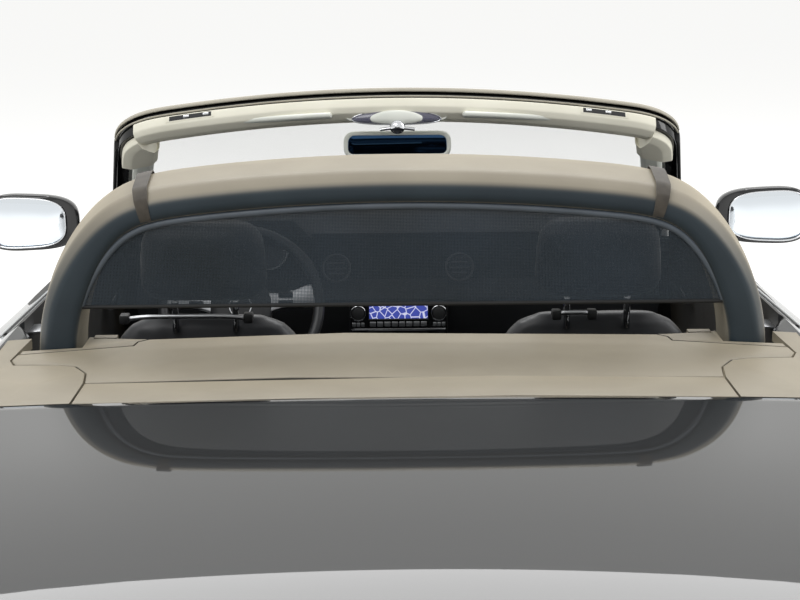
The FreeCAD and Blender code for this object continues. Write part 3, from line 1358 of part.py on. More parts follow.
def doorMirror(door):
    """Housing on a foot that rides on the door, and its glass facing rearward."""
    x0, y0, z = size("mirror_inner_x"), size("mirror_y"), size("mirror_z")
    x1, depth, high = x0 + size("mirror_width"), size("mirror_depth"), size("mirror_height")
    half_z = high / 2
    corner_steps = 4

    def ring(y, inward):
        a, b, c, d = x0 + inward, x1 - inward, z - half_z + inward, z + half_z - inward
        r = 42 - inward * 0.3
        corners = []
        centres = ((b - r, c + r, -90), (b - r, d - r, 0), (a + r, d - r, 90), (a + r, c + r, 180))
        for centre_x, centre_z, start in centres:
            for step in range(corner_steps + 1):
                turn = math.radians(start + 90 * step / corner_steps)
                corners.append(Vector(centre_x + r * math.cos(turn), y, centre_z + r * math.sin(turn)))
        return Part.makePolygon(corners + corners[:1])

    housing = loft([ring(y0, 2), ring(y0 + 18, 0), ring(y0 + depth * 0.6, 8), ring(y0 + depth, 40)])
    recess = loft([ring(y0 - 1, 10), ring(y0 + 12, 10)], True)
    glass = loft([ring(y0 + 4, 10 + seat_gap), ring(y0 + 12 - seat_gap, 10 + seat_gap)], True)
    foot = block(738, x0 + 40, y0 + 18, y0 + 78, 820, z - 22)
    lifted = door.copy()
    lifted.translate(Vector(0, 0, seat_gap))
    foot = foot.cut(lifted)
    foot = max(foot.Solids, key=lambda solid: solid.BoundBox.ZMax)
    pair("door_mirror", fused([housing.cut(recess), foot]))
    pair("mirror_glass", glass)


def exhaust():
    """Rear silencer under the luggage well with its pipes and two oval tail pipes."""
    rear, front = "tail_y + 120", "front_axle_y - wheelbase - 260"
    along = Rotation(Vector(1, 0, 0), -90)
    long_run = f"bulkhead_rear_y - bulkhead_thickness - 1 - ({front})"
    solids = [box("silencer", ("-rail_x - 60", "rail_x + 60"), (f"{rear} + 110", front),
                  ("exhaust_z - 45", "rear_rail_z - seat_gap"))]
    for name, side in (("left", -1), ("right", 1)):
        solids.append(rod("tail_pipe_" + name, "exhaust_radius + 8", "280",
                          (f"{side} * exhaust_x", "tail_y + 10", "exhaust_z"), along))
        solids.append(rod("long_pipe_" + name, "exhaust_radius - 4", long_run,
                          (f"{side} * 60", f"{front} - 5", "exhaust_z - 30"), along))
    asNode("exhaust", joined("exhaust", solids))


def build():
    """Every sub-part of the car, from the ground up."""
    underbody()
    bootTub()
    engine()
    exhaust()
    frontAxle()
    rearAxle()
    knuckles()
    for place, axle_y, track, width in (
        ("front_right", "front_axle_y", "front_track", "front_tyre_width"),
        ("front_left", "front_axle_y", "front_track", "front_tyre_width"),
        ("rear_right", "front_axle_y - wheelbase", "rear_track", "rear_tyre_width"),
        ("rear_left", "front_axle_y - wheelbase", "rear_track", "rear_tyre_width"),
    ):
        wheel(place, axle_y, track, width)
    pair("wing", wingRight())
    pair("quarter", quarterRight())
    pair("rocker", sillRight())
    door = doorRight()
    pair("door", door)
    doorMirror(door)
    node("front_bumper", frontBumper())
    node("rear_bumper", rearBumper())
    for side, lamp in zip(("left", "right"), headlamps()):
        node("headlamp_" + side, lamp)
    for side, lamp in zip(("left", "right"), tailLamps()):
        node("tail_lamp_" + side, lamp)
    node("grille", grille())
    node("bonnet", bonnet())
    node("boot_lid", bootLid())
    rollHoop()
    windDeflector()
    roofCover()
    windscreen()
    visors()
    interiorMirror()
    cowl()
    wipers()
    dashboard()
    steeringWheel()
    console()
    pair("seat", seatShape())


build()
doc.recompute()
for thing in doc.Objects:
    if "Invalid" in thing.State or "Error" in thing.State:
        raise RuntimeError(f"{thing.Label} did not build: {thing.State}")
os.makedirs("parts", exist_ok=True)
for thing in nodes:
    shape = thing.Shape
    if shape.isNull() or not shape.isValid():
        raise RuntimeError(f"{thing.Label} has no valid shape")
    shape.exportStep(f"parts/{thing.Label}.step")
print(len(nodes), "sub-parts")
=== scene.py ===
# Two-seat roadster with its roof stowed, dressed over the CAD frame. Lengths are in metres, nose along +Y.
import bmesh
import bpy
import math
from mathutils import Matrix, Vector
from mathutils.bvhtree import BVHTree


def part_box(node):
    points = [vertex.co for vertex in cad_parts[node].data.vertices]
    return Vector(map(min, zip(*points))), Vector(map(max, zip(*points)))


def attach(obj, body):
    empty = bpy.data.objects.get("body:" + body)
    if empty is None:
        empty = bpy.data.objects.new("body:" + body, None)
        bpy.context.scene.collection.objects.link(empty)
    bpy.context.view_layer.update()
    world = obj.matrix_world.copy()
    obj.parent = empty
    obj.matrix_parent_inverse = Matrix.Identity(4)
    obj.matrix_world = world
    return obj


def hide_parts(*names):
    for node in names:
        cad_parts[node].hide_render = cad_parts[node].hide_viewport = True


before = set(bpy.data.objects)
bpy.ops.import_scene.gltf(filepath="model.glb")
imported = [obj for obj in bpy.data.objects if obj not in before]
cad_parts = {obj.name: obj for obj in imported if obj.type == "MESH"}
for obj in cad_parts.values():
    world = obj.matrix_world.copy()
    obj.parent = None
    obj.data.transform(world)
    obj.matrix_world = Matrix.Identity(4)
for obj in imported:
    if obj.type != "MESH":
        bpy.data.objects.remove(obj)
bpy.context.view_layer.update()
print("frame loaded")

mm = 0.001
leftRight = (("left", -1), ("right", 1))


def at(x, y, z):  # a place given in mm
    return Vector((x, y, z)) * mm


def spread(low, high, count):
    return [low + (high - low) * k / (count - 1) for k in range(count)]


def turns(count):  # angles once round a circle
    return [math.tau * k / count for k in range(count)]


def eased(value, power):  # a share from -1 to 1 raised with its sign kept, which squares a circle's corners
    return math.copysign(abs(value) ** power, value)


def smoothStep(value):  # 0 to 1 with soft ends, held outside them
    t = min(max(value, 0), 1)
    return t * t * (3 - 2 * t)


# colours and shader nodes

def hexColour(text):  # sRGB hex to the linear colour that a socket takes
    channels = [int(text[i:i + 2], 16) / 255 for i in (1, 3, 5)]
    linear = [c / 12.92 if c <= 0.04045 else ((c + 0.055) / 1.055) ** 2.4 for c in channels]
    return (*linear, 1.0)


def addNode(tree, kind, settings=None, links=None):  # a key of either is an attribute, a socket's name or its number
    made = tree.nodes.new(kind)
    for key, value in (settings or {}).items():
        if isinstance(key, str) and key not in made.inputs:
            setattr(made, key, value)
        else:
            made.inputs[key].default_value = hexColour(value) if isinstance(value, str) else value
    for key, source in (links or {}).items():
        tree.links.new(source, made.inputs[key])
    return made


def newFinish(name, settings):  # a material with one Principled shader; returns it with its tree and shader
    material = bpy.data.materials.new(name)
    material.use_nodes = True
    tree = material.node_tree
    tree.nodes.clear()
    shader = addNode(tree, "ShaderNodeBsdfPrincipled", settings)
    addNode(tree, "ShaderNodeOutputMaterial", {}, {"Surface": shader.outputs["BSDF"]})
    return material, tree, shader


def objectCoordinates(tree, stretch=(1, 1, 1)):
    place = addNode(tree, "ShaderNodeTexCoord")
    scaled = addNode(tree, "ShaderNodeMapping", {"Scale": stretch}, {"Vector": place.outputs["Object"]})
    return scaled.outputs["Vector"]


def between(tree, factor, low, high):  # a number that runs from low to high with a 0..1 factor
    span = addNode(tree, "ShaderNodeMapRange", {"To Min": low, "To Max": high}, {"Value": factor})
    return span.outputs["Result"]


def twoTones(tree, factor, dark, light, start=0.3, end=0.7):
    ramp = addNode(tree, "ShaderNodeValToRGB", {}, {"Fac": factor})
    ramp.color_ramp.elements[0].position, ramp.color_ramp.elements[1].position = start, end
    ramp.color_ramp.elements[0].color, ramp.color_ramp.elements[1].color = hexColour(dark), hexColour(light)
    return ramp.outputs["Color"]


def noise(tree, coordinates, size, detail=3.0):  # size in metres of one blotch
    made = addNode(tree, "ShaderNodeTexNoise", {"Scale": 1 / size, "Detail": detail}, {"Vector": coordinates})
    return made.outputs["Fac"]


def bumpFrom(tree, shader, height, depth, strength=1.0):  # depth in metres
    bump = addNode(tree, "ShaderNodeBump", {"Strength": strength, "Distance": depth}, {"Height": height})
    tree.links.new(bump.outputs["Normal"], shader.inputs["Normal"])


def grainBump(tree, shader, place, cell, depth):  # creases between rounded cells, as leather has
    cells = addNode(tree, "ShaderNodeTexVoronoi", {"Scale": 1 / cell, "feature": "DISTANCE_TO_EDGE"},
                    {"Vector": place})
    bumpFrom(tree, shader, cells.outputs["Distance"], depth, 0.6)


def waveBands(tree, place, scale, direction):
    wave = addNode(tree, "ShaderNodeTexWave", {"Scale": scale, "bands_direction": direction}, {"Vector": place})
    return wave.outputs["Fac"]


# finishes, each named for what the real one is

def blackPaint():  # solid black enamel under a clear coat: deep, with sharp reflections and the faintest orange peel
    material, tree, shader = newFinish("black enamel under clear coat",
                                       {"Base Color": "#0A0B0D", "Roughness": 0.32, "Specular IOR Level": 0.1,
                                        "Coat Weight": 1.0, "Coat Roughness": 0.02, "Coat IOR": 1.5})
    place = objectCoordinates(tree)
    tone = twoTones(tree, noise(tree, place, 0.4), "#090A0C", "#0D0E11")
    tree.links.new(tone, shader.inputs["Base Color"])
    bumpFrom(tree, shader, noise(tree, place, 0.006, 1.0), 0.00001)  # orange peel, 6 mm from crest to crest
    return material


def grainedSkin(name, dark, light, grain, depth, roughness, sheen):  # leather or a moulded skin, with a grain
    material, tree, shader = newFinish(name, {
        "Roughness": roughness, "Specular IOR Level": 0.5, "Sheen Weight": sheen, "Sheen Roughness": 0.3,
        "Sheen Tint": "#F2E3C4"})
    place = objectCoordinates(tree)
    tone = twoTones(tree, noise(tree, place, 0.12, 5.0), dark, light)
    tree.links.new(tone, shader.inputs["Base Color"])
    grainBump(tree, shader, place, grain, depth)
    wear = between(tree, noise(tree, place, 0.05), roughness - 0.06, roughness + 0.08)
    tree.links.new(wear, shader.inputs["Roughness"])
    return material


# grained vinyl drawn over a form: on its sides the vinyl's own dark slate, deepened into painted shade; what faces up
# is painted in a paler, warmer pair of tones, a painted light from above
def wrappedVinyl(name, sides, top):
    material, tree, shader = newFinish(name,
                                       {"Roughness": 0.45, "Specular IOR Level": 0.35, "Sheen Weight": 0.5,
                                        "Sheen Roughness": 0.35, "Sheen Tint": "#F2E3C4"})
    place = objectCoordinates(tree)
    # how far each point faces up mixes the shaded tones into the lit ones: painted shade on the sides, painted light
    # on top
    facing = addNode(tree, "ShaderNodeAttribute", {"attribute_name": "upward"})
    share = addNode(tree, "ShaderNodeMapRange",
                    {"interpolation_type": "SMOOTHSTEP", "From Min": 0.15, "From Max": 0.8},
                    {"Value": facing.outputs["Fac"]})
    mottled = noise(tree, place, 0.12, 5.0)
    low = twoTones(tree, mottled, *sides)
    high = twoTones(tree, mottled, *top)
    mixed = addNode(tree, "ShaderNodeMix", {"data_type": "RGBA"})
    tree.links.new(share.outputs["Result"], mixed.inputs[0])
    tree.links.new(low, mixed.inputs[6])
    tree.links.new(high, mixed.inputs[7])
    tree.links.new(mixed.outputs[2], shader.inputs["Base Color"])
    grainBump(tree, shader, place, 0.0016, 0.00009)
    tree.links.new(between(tree, noise(tree, place, 0.05), 0.4, 0.52), shader.inputs["Roughness"])
    return material


def plainPlastic(name, dark, light, roughness, grain=0.0012, depth=0.00004):  # injection moulded, finely eroded
    material, tree, shader = newFinish(name, {"Roughness": roughness})
    place = objectCoordinates(tree)
    tree.links.new(twoTones(tree, noise(tree, place, 0.08), dark, light), shader.inputs["Base Color"])
    bumpFrom(tree, shader, noise(tree, place, grain, 2.0), depth)
    tree.links.new(between(tree, noise(tree, place, 0.03), roughness - 0.04, roughness + 0.05),
                   shader.inputs["Roughness"])
    return material


def metal(name, tone, roughness, stretch=(1, 1, 1), grain=0.004, spread=0.06):  # bare or polished, slightly streaked
    material, tree, shader = newFinish(name, {"Base Color": tone, "Metallic": 1.0, "Roughness": roughness})
    streaks = noise(tree, objectCoordinates(tree, stretch), grain, 4.0)
    tree.links.new(between(tree, streaks, max(roughness - spread, 0.02), roughness + spread),
                   shader.inputs["Roughness"])
    bumpFrom(tree, shader, streaks, 0.00001)
    return material


def clearGlass(name, tint, cover=0.12):  # thin pane: mostly see-through, a weak tint, full surface gloss
    material, tree, shader = newFinish(name, {
        "Base Color": tint, "Roughness": 0.0, "IOR": 1.5, "Alpha": cover, "Coat Weight": 1.0, "Coat Roughness": 0.01})
    place = objectCoordinates(tree)
    tree.links.new(between(tree, noise(tree, place, 0.2), cover, cover + 0.03), shader.inputs["Alpha"])
    return material


def lampLens(name, tint, cover):  # moulded acrylic with fine vertical flutes inside
    material, tree, shader = newFinish(name,
                                       {"Base Color": tint, "Roughness": 0.06, "IOR": 1.49, "Alpha": cover,
                                        "Coat Weight": 1.0, "Coat Roughness": 0.02})
    place = objectCoordinates(tree)
    bumpFrom(tree, shader, waveBands(tree, place, 50, "X"), 0.0002, 0.4)
    return material


def tyreRubber():  # vulcanised tread rubber: near black, matt, slightly grey where dusty
    material, tree, shader = newFinish("vulcanised tyre rubber", {"Roughness": 0.75})
    place = objectCoordinates(tree)
    tree.links.new(twoTones(tree, noise(tree, place, 0.05, 6.0), "#151617", "#232424"), shader.inputs["Base Color"])
    bumpFrom(tree, shader, noise(tree, place, 0.0015), 0.00008)
    return material


def deflectorNet():  # knitted polyester net, threads 1.5 mm apart drawn 4 mm apart so that the render shows them
    material, tree, shader = newFinish("knitted polyester net", {"Roughness": 0.75})
    place = objectCoordinates(tree)
    tree.links.new(twoTones(tree, noise(tree, place, 0.2), "#1B252C", "#25303A"), shader.inputs["Base Color"])
    waves = {number: waveBands(tree, place, 1 / 0.004 / 2, direction) for number, direction in enumerate("XZ")}
    holes = addNode(tree, "ShaderNodeMath", {"operation": "MULTIPLY"}, waves)
    tree.links.new(between(tree, holes.outputs["Value"], 0.97, 0.55), shader.inputs["Alpha"])
    return material


def webbing(dark, light):  # woven polyester band, ribs 1.5 mm apart across it
    material, tree, shader = newFinish("woven polyester webbing", {"Roughness": 0.8, "Sheen Weight": 0.2})
    place = objectCoordinates(tree)
    tree.links.new(twoTones(tree, noise(tree, place, 0.02), dark, light), shader.inputs["Base Color"])
    bumpFrom(tree, shader, waveBands(tree, place, 20 / 0.0015 / 60, "X"), 0.0003, 0.5)
    return material


def glowingDisplay():  # navigation screen: a blue map with pale roads and a red route, under matt glass
    material, tree, shader = newFinish("navigation display", {
        "Roughness": 0.25, "Coat Weight": 0.5, "Emission Strength": 0.55})
    place = objectCoordinates(tree)
    roads = addNode(tree, "ShaderNodeTexVoronoi", {"Scale": 1 / 0.017, "feature": "DISTANCE_TO_EDGE"},
                    {"Vector": place})
    network = twoTones(tree, roads.outputs["Distance"], "#D6D8F4", "#4450A8", 0.03, 0.08)
    tree.links.new(network, shader.inputs["Base Color"])
    tree.links.new(network, shader.inputs["Emission Color"])
    return material


finish = {
    "paint": blackPaint(),
    # cover and hoop: first the vinyl's dark tones with painted shade, then paler, warmer tones of painted light from
    # above
    "cover": wrappedVinyl("roof cover vinyl with painted light and shade", ("#34332F", "#3E3C37"), ("#837C6E", "#8C8576")),
    "hoop": wrappedVinyl("hoop vinyl with painted light and shade", ("#232D34", "#2B363D"), ("#857E70", "#8E8778")),
    "leather": grainedSkin("dark seat leather", "#1A1B1E", "#24262A", 0.0022, 0.00018, 0.42, 0.12),
    "dash": grainedSkin("soft grained dashboard skin", "#191A1C", "#212326", 0.0018, 0.00012, 0.6, 0.05),
    "cream": grainedSkin("foam-backed cream trim", "#E2DFCE", "#EBE8D8", 0.0014, 0.00005, 0.75, 0.1),
    "paleTrim": plainPlastic("pale moulded trim", "#E0E3DA", "#E9EBE3", 0.5),
    "blackPlastic": plainPlastic("black grained polypropylene", "#141516", "#1C1D1F", 0.55),
    "glossPlastic": plainPlastic("gloss black acrylic", "#08090A", "#0B0C0D", 0.08, 0.02, 0.00001),
    "seal": plainPlastic("black rubber seal", "#101112", "#18191A", 0.7),
    "headerSeal": plainPlastic("grey flocked header seal", "#A39E90", "#AEA99B", 0.8, 0.0008, 0.0001),
    "structure": plainPlastic("underbody coating", "#1A1B1C", "#232425", 0.7, 0.003, 0.0002),
    "silverPlastic": metal("satin silver trim", "#B7B9BC", 0.32),
    "chrome": metal("chromium plate", "#D8DADD", 0.06, spread=0.02),
    "mirror": metal("silvered mirror glass", "#E4EAF0", 0.02, spread=0.005),
    "alloy": metal("silver painted cast aluminium", "#A9ACB0", 0.3),
    "disc": metal("turned cast iron", "#8C8A87", 0.35, (1, 1, 1), 0.002, 0.1),
    "steel": metal("brushed stainless steel", "#9C9A96", 0.3, (1, 0.05, 1)),
    "castGrey": metal("rough cast aluminium", "#6F7072", 0.55),
    "tyre": tyreRubber(),
    "net": deflectorNet(),
    "screen": clearGlass("laminated windscreen glass", "#9FB4AE"),
    "clearLens": lampLens("clear acrylic lens", "#DDE4EA", 0.18),
    "redLens": lampLens("red acrylic lens", "#B3090E", 0.5),
    "display": glowingDisplay(),
    "darkMirror": metal("dimming mirror glass", "#2C4766", 0.03),
    "lampBowl": plainPlastic("dark lamp bowl", "#1A1B1D", "#222326", 0.3),
    "lampGlass": metal("bulb's glass ball over bright metal", "#C9D4DE", 0.04, spread=0.01),
    "redBowl": plainPlastic("dark red lamp bowl", "#3A0608", "#4A090B", 0.35),
    "smokedLens": lampLens("clear lamp lens over a dark well", "#5A5A72", 0.75),
    "stitch": plainPlastic("seam thread and piping", "#26282B", "#33363A", 0.6),
    "gaugeFace": plainPlastic("instrument face", "#14161A", "#1B1E23", 0.35),
    "webbing": webbing("#3A352E", "#4B453C"),
    "tubeGrey": plainPlastic("powder-coated grey tube", "#4C545C", "#59616A", 0.4),
}
print("finishes made")


# meshes from points

def newPiece(name, data):  # an object of the scene around its data
    piece = bpy.data.objects.new(name, data)
    bpy.context.scene.collection.objects.link(piece)
    return piece


def meshPiece(name, points, faces, edges=()):
    mesh = bpy.data.meshes.new(name)
    mesh.from_pydata([tuple(p) for p in points], edges, faces)
    mesh.update()
    return newPiece(name, mesh)


def gridFaces(rows, columns, closed=False, start=0):
    faces = []
    for i in range(rows - 1):
        for j in range(columns if closed else columns - 1):
            k = (j + 1) % columns
            faces.append((start + i * columns + j, start + i * columns + k,
                          start + (i + 1) * columns + k, start + (i + 1) * columns + j))
    return faces


def outwardNormals(piece):
    loose = bmesh.new()
    loose.from_mesh(piece.data)
    bmesh.ops.remove_doubles(loose, verts=loose.verts, dist=1e-6)
    bmesh.ops.recalc_face_normals(loose, faces=loose.faces)
    loose.to_mesh(piece.data)
    loose.free()
    return piece


def sweptPiece(name, rings, closed=False):  # rings of points joined into a tube, capped where it isn't closed
    points = [p for ring in rings for p in ring]
    count = len(rings[0])
    faces = gridFaces(len(rings), count, closed=True)
    if closed:
        last = (len(rings) - 1) * count
        faces += [(last + j, last + (j + 1) % count, (j + 1) % count, j) for j in range(count)]
    else:
        faces += [tuple(range(count)), tuple(reversed(range(len(points) - count, len(points))))]
    return outwardNormals(meshPiece(name, points, faces))


carMiddle = Vector((0, 0, 0.5))  # every panel's outer face looks away from here


def walledPiece(name, sheet, depth):  # gives an open sheet its inner wall and its edges
    normals = {v: -v.normal if v.normal.dot(v.co - carMiddle) < 0 else v.normal.copy() for v in sheet.verts}
    for turn in range(3):  # a point in a folded corner follows its neighbours
        for v in sheet.verts:
            around = sum((normals[edge.other_vert(v)] for edge in v.link_edges), Vector()).normalized()
            if normals[v].dot(around) < 0.5:
                normals[v] = around
    behind = {v: sheet.verts.new(v.co - normals[v] * depth) for v in list(sheet.verts)}
    rim = [edge for edge in sheet.edges if edge.is_boundary]
    for face in list(sheet.faces):
        sheet.faces.new([behind[v] for v in reversed(face.verts)])
    for edge in rim:
        a, b = edge.verts
        sheet.faces.new([a, b, behind[b], behind[a]])
    bmesh.ops.recalc_face_normals(sheet, faces=sheet.faces)
    mesh = bpy.data.meshes.new(name)
    sheet.to_mesh(mesh)
    sheet.free()
    return newPiece(name, mesh)


def skinPiece(name, grids, depth):  # a sheet through grids of points with its wall behind it, closed all round
    sheet = bmesh.new()
    for rows in grids:
        corners = [sheet.verts.new(p) for row in rows for p in row]
        for face in gridFaces(len(rows), len(rows[0])):
            try:
                sheet.faces.new([corners[i] for i in face])
            except ValueError:
                continue
    bmesh.ops.remove_doubles(sheet, verts=sheet.verts, dist=1e-5)
    sheet.normal_update()
    if sum(face.calc_area() * face.normal.dot(face.calc_center_median() - carMiddle) for face in sheet.faces) < 0:
        bmesh.ops.reverse_faces(sheet, faces=sheet.faces)
        sheet.normal_update()
    return walledPiece(name, sheet, depth)


def markUpward(piece):  # keeps how far each point faces up, which wrappedVinyl turns into painted light on top and painted shade on the sides
    mesh = piece.data
    mesh.update()
    values = [v.vector.z for v in mesh.vertex_normals]
    mesh.attributes.new("upward", "FLOAT", "POINT").data.foreach_set("value", values)
    return piece


def applied(piece):  # the piece with its modifiers made into its mesh
    graph = bpy.context.evaluated_depsgraph_get()
    graph.update()
    mesh = bpy.data.meshes.new_from_object(piece.evaluated_get(graph))
    piece.modifiers.clear()
    piece.data = mesh
    return piece


def combined(piece, others, operation="DIFFERENCE", tangled=False):  # tangled: it runs through itself somewhere
    for number, other in enumerate(others):
        change = piece.modifiers.new(f"cut {number}", "BOOLEAN")
        change.operation, change.object, change.solver, change.use_self = operation, other, "EXACT", tangled
    applied(piece)
    for other in others:
        bpy.data.objects.remove(other)
    return piece


def roundedEdges(piece, width, segments=2, angle=35):
    bevel = piece.modifiers.new("edges", "BEVEL")
    bevel.width, bevel.segments, bevel.limit_method = width, segments, "ANGLE"
    bevel.angle_limit = math.radians(angle)
    return applied(piece)


def smoothed(piece, angle=32):
    piece.data.shade_smooth()
    piece.data.set_sharp_from_angle(angle=math.radians(angle))
    return piece


def settle(piece, look, slotName="trim", *replaced, on="body_shell", angle=32):  # finish and body of one piece; slotName is not used
    piece.data.materials.clear()
    piece.data.materials.append(finish[look])
    smoothed(piece, angle)
    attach(piece, on)
    if replaced:
        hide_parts(*replaced)
    return piece


def mirrored(piece):  # the piece turned into its image across the car's middle
    piece.data.transform(Matrix.Scale(-1, 4, (1, 0, 0)))
    piece.data.flip_normals()
    return piece


def boxPiece(name, low, high, bevel=0.0, segments=3):
    (x0, y0, z0), (x1, y1, z1) = low, high
    points = [(x, y, z) for x in (x0, x1) for y in (y0, y1) for z in (z0, z1)]
    faces = [(0, 1, 3, 2), (4, 6, 7, 5), (0, 4, 5, 1), (2, 3, 7, 6), (0, 2, 6, 4), (1, 5, 7, 3)]
    piece = outwardNormals(meshPiece(name, points, faces))
    return roundedEdges(piece, bevel, segments) if bevel else piece


def prismAlongY(name, outline, y0, y1):  # a closed outline of (x, z) between two places along the car, in mm
    return sweptPiece(name, [[(x * mm, y * mm, z * mm) for x, z in outline] for y in (y0, y1)])


def ellipseOutline(x, z, wide, high, turn=0):
    lean = math.radians(turn)
    return [(x + wide * math.cos(a) * math.cos(lean) - high * math.sin(a) * math.sin(lean),
             z + wide * math.cos(a) * math.sin(lean) + high * math.sin(a) * math.cos(lean)) for a in turns(72)]


# The body's form. Stations along the car, in mm: y, greatest half width, shoulder height, half width of the
# deck, height of the deck at its edge and at its middle. The deck is the bonnet, cockpit rim or boot lid.
bodyStations = (
    (-2185, 912, 842, 556, 928, 945), (-2000, 912, 868, 612, 947, 972), (-1700, 912, 882, 650, 958, 984),
    (-1342, 914, 890, 678, 960, 972), (-1155, 914, 890, 690, 958, 972), (-745, 902, 884, 700, 944, 972),
    (-50, 888, 862, 704, 916, 930), (600, 890, 838, 712, 893, 926), (1000, 900, 812, 692, 874, 922),
    (1405, 908, 776, 664, 836, 886), (1700, 897, 737, 632, 792, 832), (1995, 895, 674, 552, 716, 752),
    (2120, 895, 640, 470, 672, 703),
)
halfWidth, shoulder, deckHalf, deckEdge, deckMiddle = range(1, 6)
# How far the ends reach at each height, in mm: z, front y, rear y.
reachLevels = (
    (160, 2185, -2210), (300, 2248, -2258), (470, 2270, -2270), (600, 2240, -2264), (690, 2165, -2254),
    (800, 2060, -2232), (945, 1870, -2182), (1000, 1810, -2158),
)
frontReach, rearReach = 1, 2
body = {
    "noseRound": 1700, "tailRound": -1500, "nosePower": 2.4, "tailPower": 3.0, "tuckUnder": 52, "leanIn": 95,
    "widestShare": 0.42, "shoulderRound": 66, "shoulderRise": 34, "panel": 30, "gap": 5, "seam": 3,
    "sillBottom": 160, "doorBottom": 268, "doorFront": 600, "doorRear": -745, "wingFront": 1995,
    "bumperFront": 1793, "bumperRear": -1543, "bumperTop": 600, "rearBumperTop": 640, "rearBumperLow": 200,
    "quarterRear": -2000, "lidFront": -1342, "lidFaceHalf": 560, "lidFaceLow": 690,
    "bonnetFront": 2120, "bonnetRear": 770, "frontAxle": 1405, "rearAxle": -1155, "axleHeight": 330,
    "archRadius": 372, "wellRadius": 400, "doorInner": 702,
}


def along(table, column, place):
    last = len(table) - 2
    i = 0
    while i < last and place > table[i + 1][0]:
        i += 1

    def slope(k):
        low, high = max(k - 1, 0), min(k + 1, len(table) - 1)
        return (table[high][column] - table[low][column]) / (table[high][0] - table[low][0])

    span = table[i + 1][0] - table[i][0]
    t = min(max((place - table[i][0]) / span, 0.0), 1.0)
    return ((2 * t ** 3 - 3 * t ** 2 + 1) * table[i][column] + (t ** 3 - 2 * t ** 2 + t) * span * slope(i)
            + (3 * t ** 2 - 2 * t ** 3) * table[i + 1][column] + (t ** 3 - t ** 2) * span * slope(i + 1))


def bodyLine(column, y):
    return along(bodyStations, column, y)


def sideInset(y, z):
    bottom, widest = body["sillBottom"], body["widestShare"]
    share = (z - bottom) / (bodyLine(shoulder, y) - bottom)
    if share < widest:
        return body["tuckUnder"] * (1 - share / widest) ** 2
    return body["leanIn"] * ((share - widest) / (1 - widest)) ** 2.4


endForms = {  # by whether it is the front: where the end begins to round, how square it is, and its reach
    True: (body["noseRound"], body["nosePower"], frontReach),
    False: (body["tailRound"], body["tailPower"], rearReach),
}


def sideX(y, z):  # half width of the body at a place
    for isFront, (start, power, reach) in endForms.items():
        if (y - start) * (1 if isFront else -1) > 0:
            full = bodyLine(halfWidth, start) - sideInset(start, z)
            share = (y - start) / (along(reachLevels, reach, z) - start)
            return full * max(1 - share ** power, 0) ** (1 / power)
    return bodyLine(halfWidth, y) - sideInset(y, z)


def deckZ(x, y):  # height of the bowed deck
    half = bodyLine(deckHalf, y)
    edge, middle = bodyLine(deckEdge, y), bodyLine(deckMiddle, y)
    rise = middle - edge
    radius = (half ** 2 + rise ** 2) / (2 * rise)
    return middle - radius + math.sqrt(radius ** 2 - x ** 2)


def curved(start, corner, end, count):
    return [start * (1 - t) ** 2 + corner * 2 * t * (1 - t) + end * t ** 2 for t in spread(0, 1, count)]


def bentCorner(before, corner, after, reach, steps):  # a corner softened into a curve
    start = corner + (before - corner).normalized() * min(reach, (before - corner).length * 0.48)
    end = corner + (after - corner).normalized() * min(reach, (after - corner).length * 0.48)
    return curved(start, corner, end, steps + 1)


def sideProfile(y, innerX, innerZ):  # half section of a wing, door or quarter, from its lower edge inwards
    rise = bodyLine(shoulder, y)
    topX = sideX(y, rise) - body["shoulderRound"]
    turnIn = 26
    side = [Vector((sideX(y, z), y, z)) for z in spread(body["doorBottom"], rise - turnIn, 16)]
    corner = Vector((sideX(y, rise), y, rise))
    crest = Vector((topX, y, rise + body["shoulderRise"]))
    middle = Vector((topX + body["shoulderRound"] * 0.34, y, rise + body["shoulderRise"] * 0.7))
    inner = Vector((innerX, y, innerZ))
    upper = bentCorner(side[-1], corner, middle, turnIn, 6)
    return side[:-1] + upper + bentCorner(corner, crest, inner, 24, 6) + [inner]


def sideRows(y0, y1, count):  # sections of a wing or quarter up to the bonnet or boot lid
    return [sideProfile(y, bodyLine(deckHalf, y) + body["gap"], bodyLine(deckEdge, y)) for y in spread(y0, y1, count)]


def panelSkin(name, grids, side=1, depth=body["panel"]):  # a panel through grids of places in mm; side -1 mirrors it
    panel = skinPiece(name, [[[p * mm for p in row] for row in rows] for rows in grids], depth * mm)
    return mirrored(panel) if side < 0 else panel


def wheelDrum(axle, radius, side):  # a cylinder across one side of the car
    centreY, centreZ, radius = axle * mm, body["axleHeight"] * mm, radius * mm
    return sweptPiece("wheelCut", [[(side * x, centreY + radius * math.cos(a), centreZ + radius * math.sin(a))
                                    for a in turns(96)] for x in (0.48, 1.0)])


def sideBox(side, y, top):  # a cutter from the ground up, between two places along one side of the car
    xLow, xHigh = sorted((0, side * 1000))
    return boxPiece("cut", (xLow * mm, y[0] * mm, 0), (xHigh * mm, y[1] * mm, top * mm))


headlampForm = {"x": 640, "z": 628, "wide": 150, "high": 74, "turn": 14, "rear": 1885}
tailLampForm = {"x": 735, "z": 778, "wide": 150, "high": 66, "turn": 8}


def lampCutter(form, side, grow, y0, y1):
    outline = ellipseOutline(side * form["x"], form["z"], form["wide"] + grow, form["high"] + grow,
                             side * form["turn"])
    return prismAlongY("lampCut", outline, y0, y1)


def paintPanel(piece, *replaced, on="body_shell"):
    settle(roundedEdges(piece, 0.0016), "paint", "paint", *replaced, on=on)


panelPlugs = {}  # what the openings take out of the panels, kept as the shape of their lenses


def keepPlug(key, panel, cutter, tangled=False):
    plug = combined(newPiece("plug", panel.data.copy()), [cutter], "INTERSECT", tangled)
    panelPlugs.setdefault(key, []).append(plug)


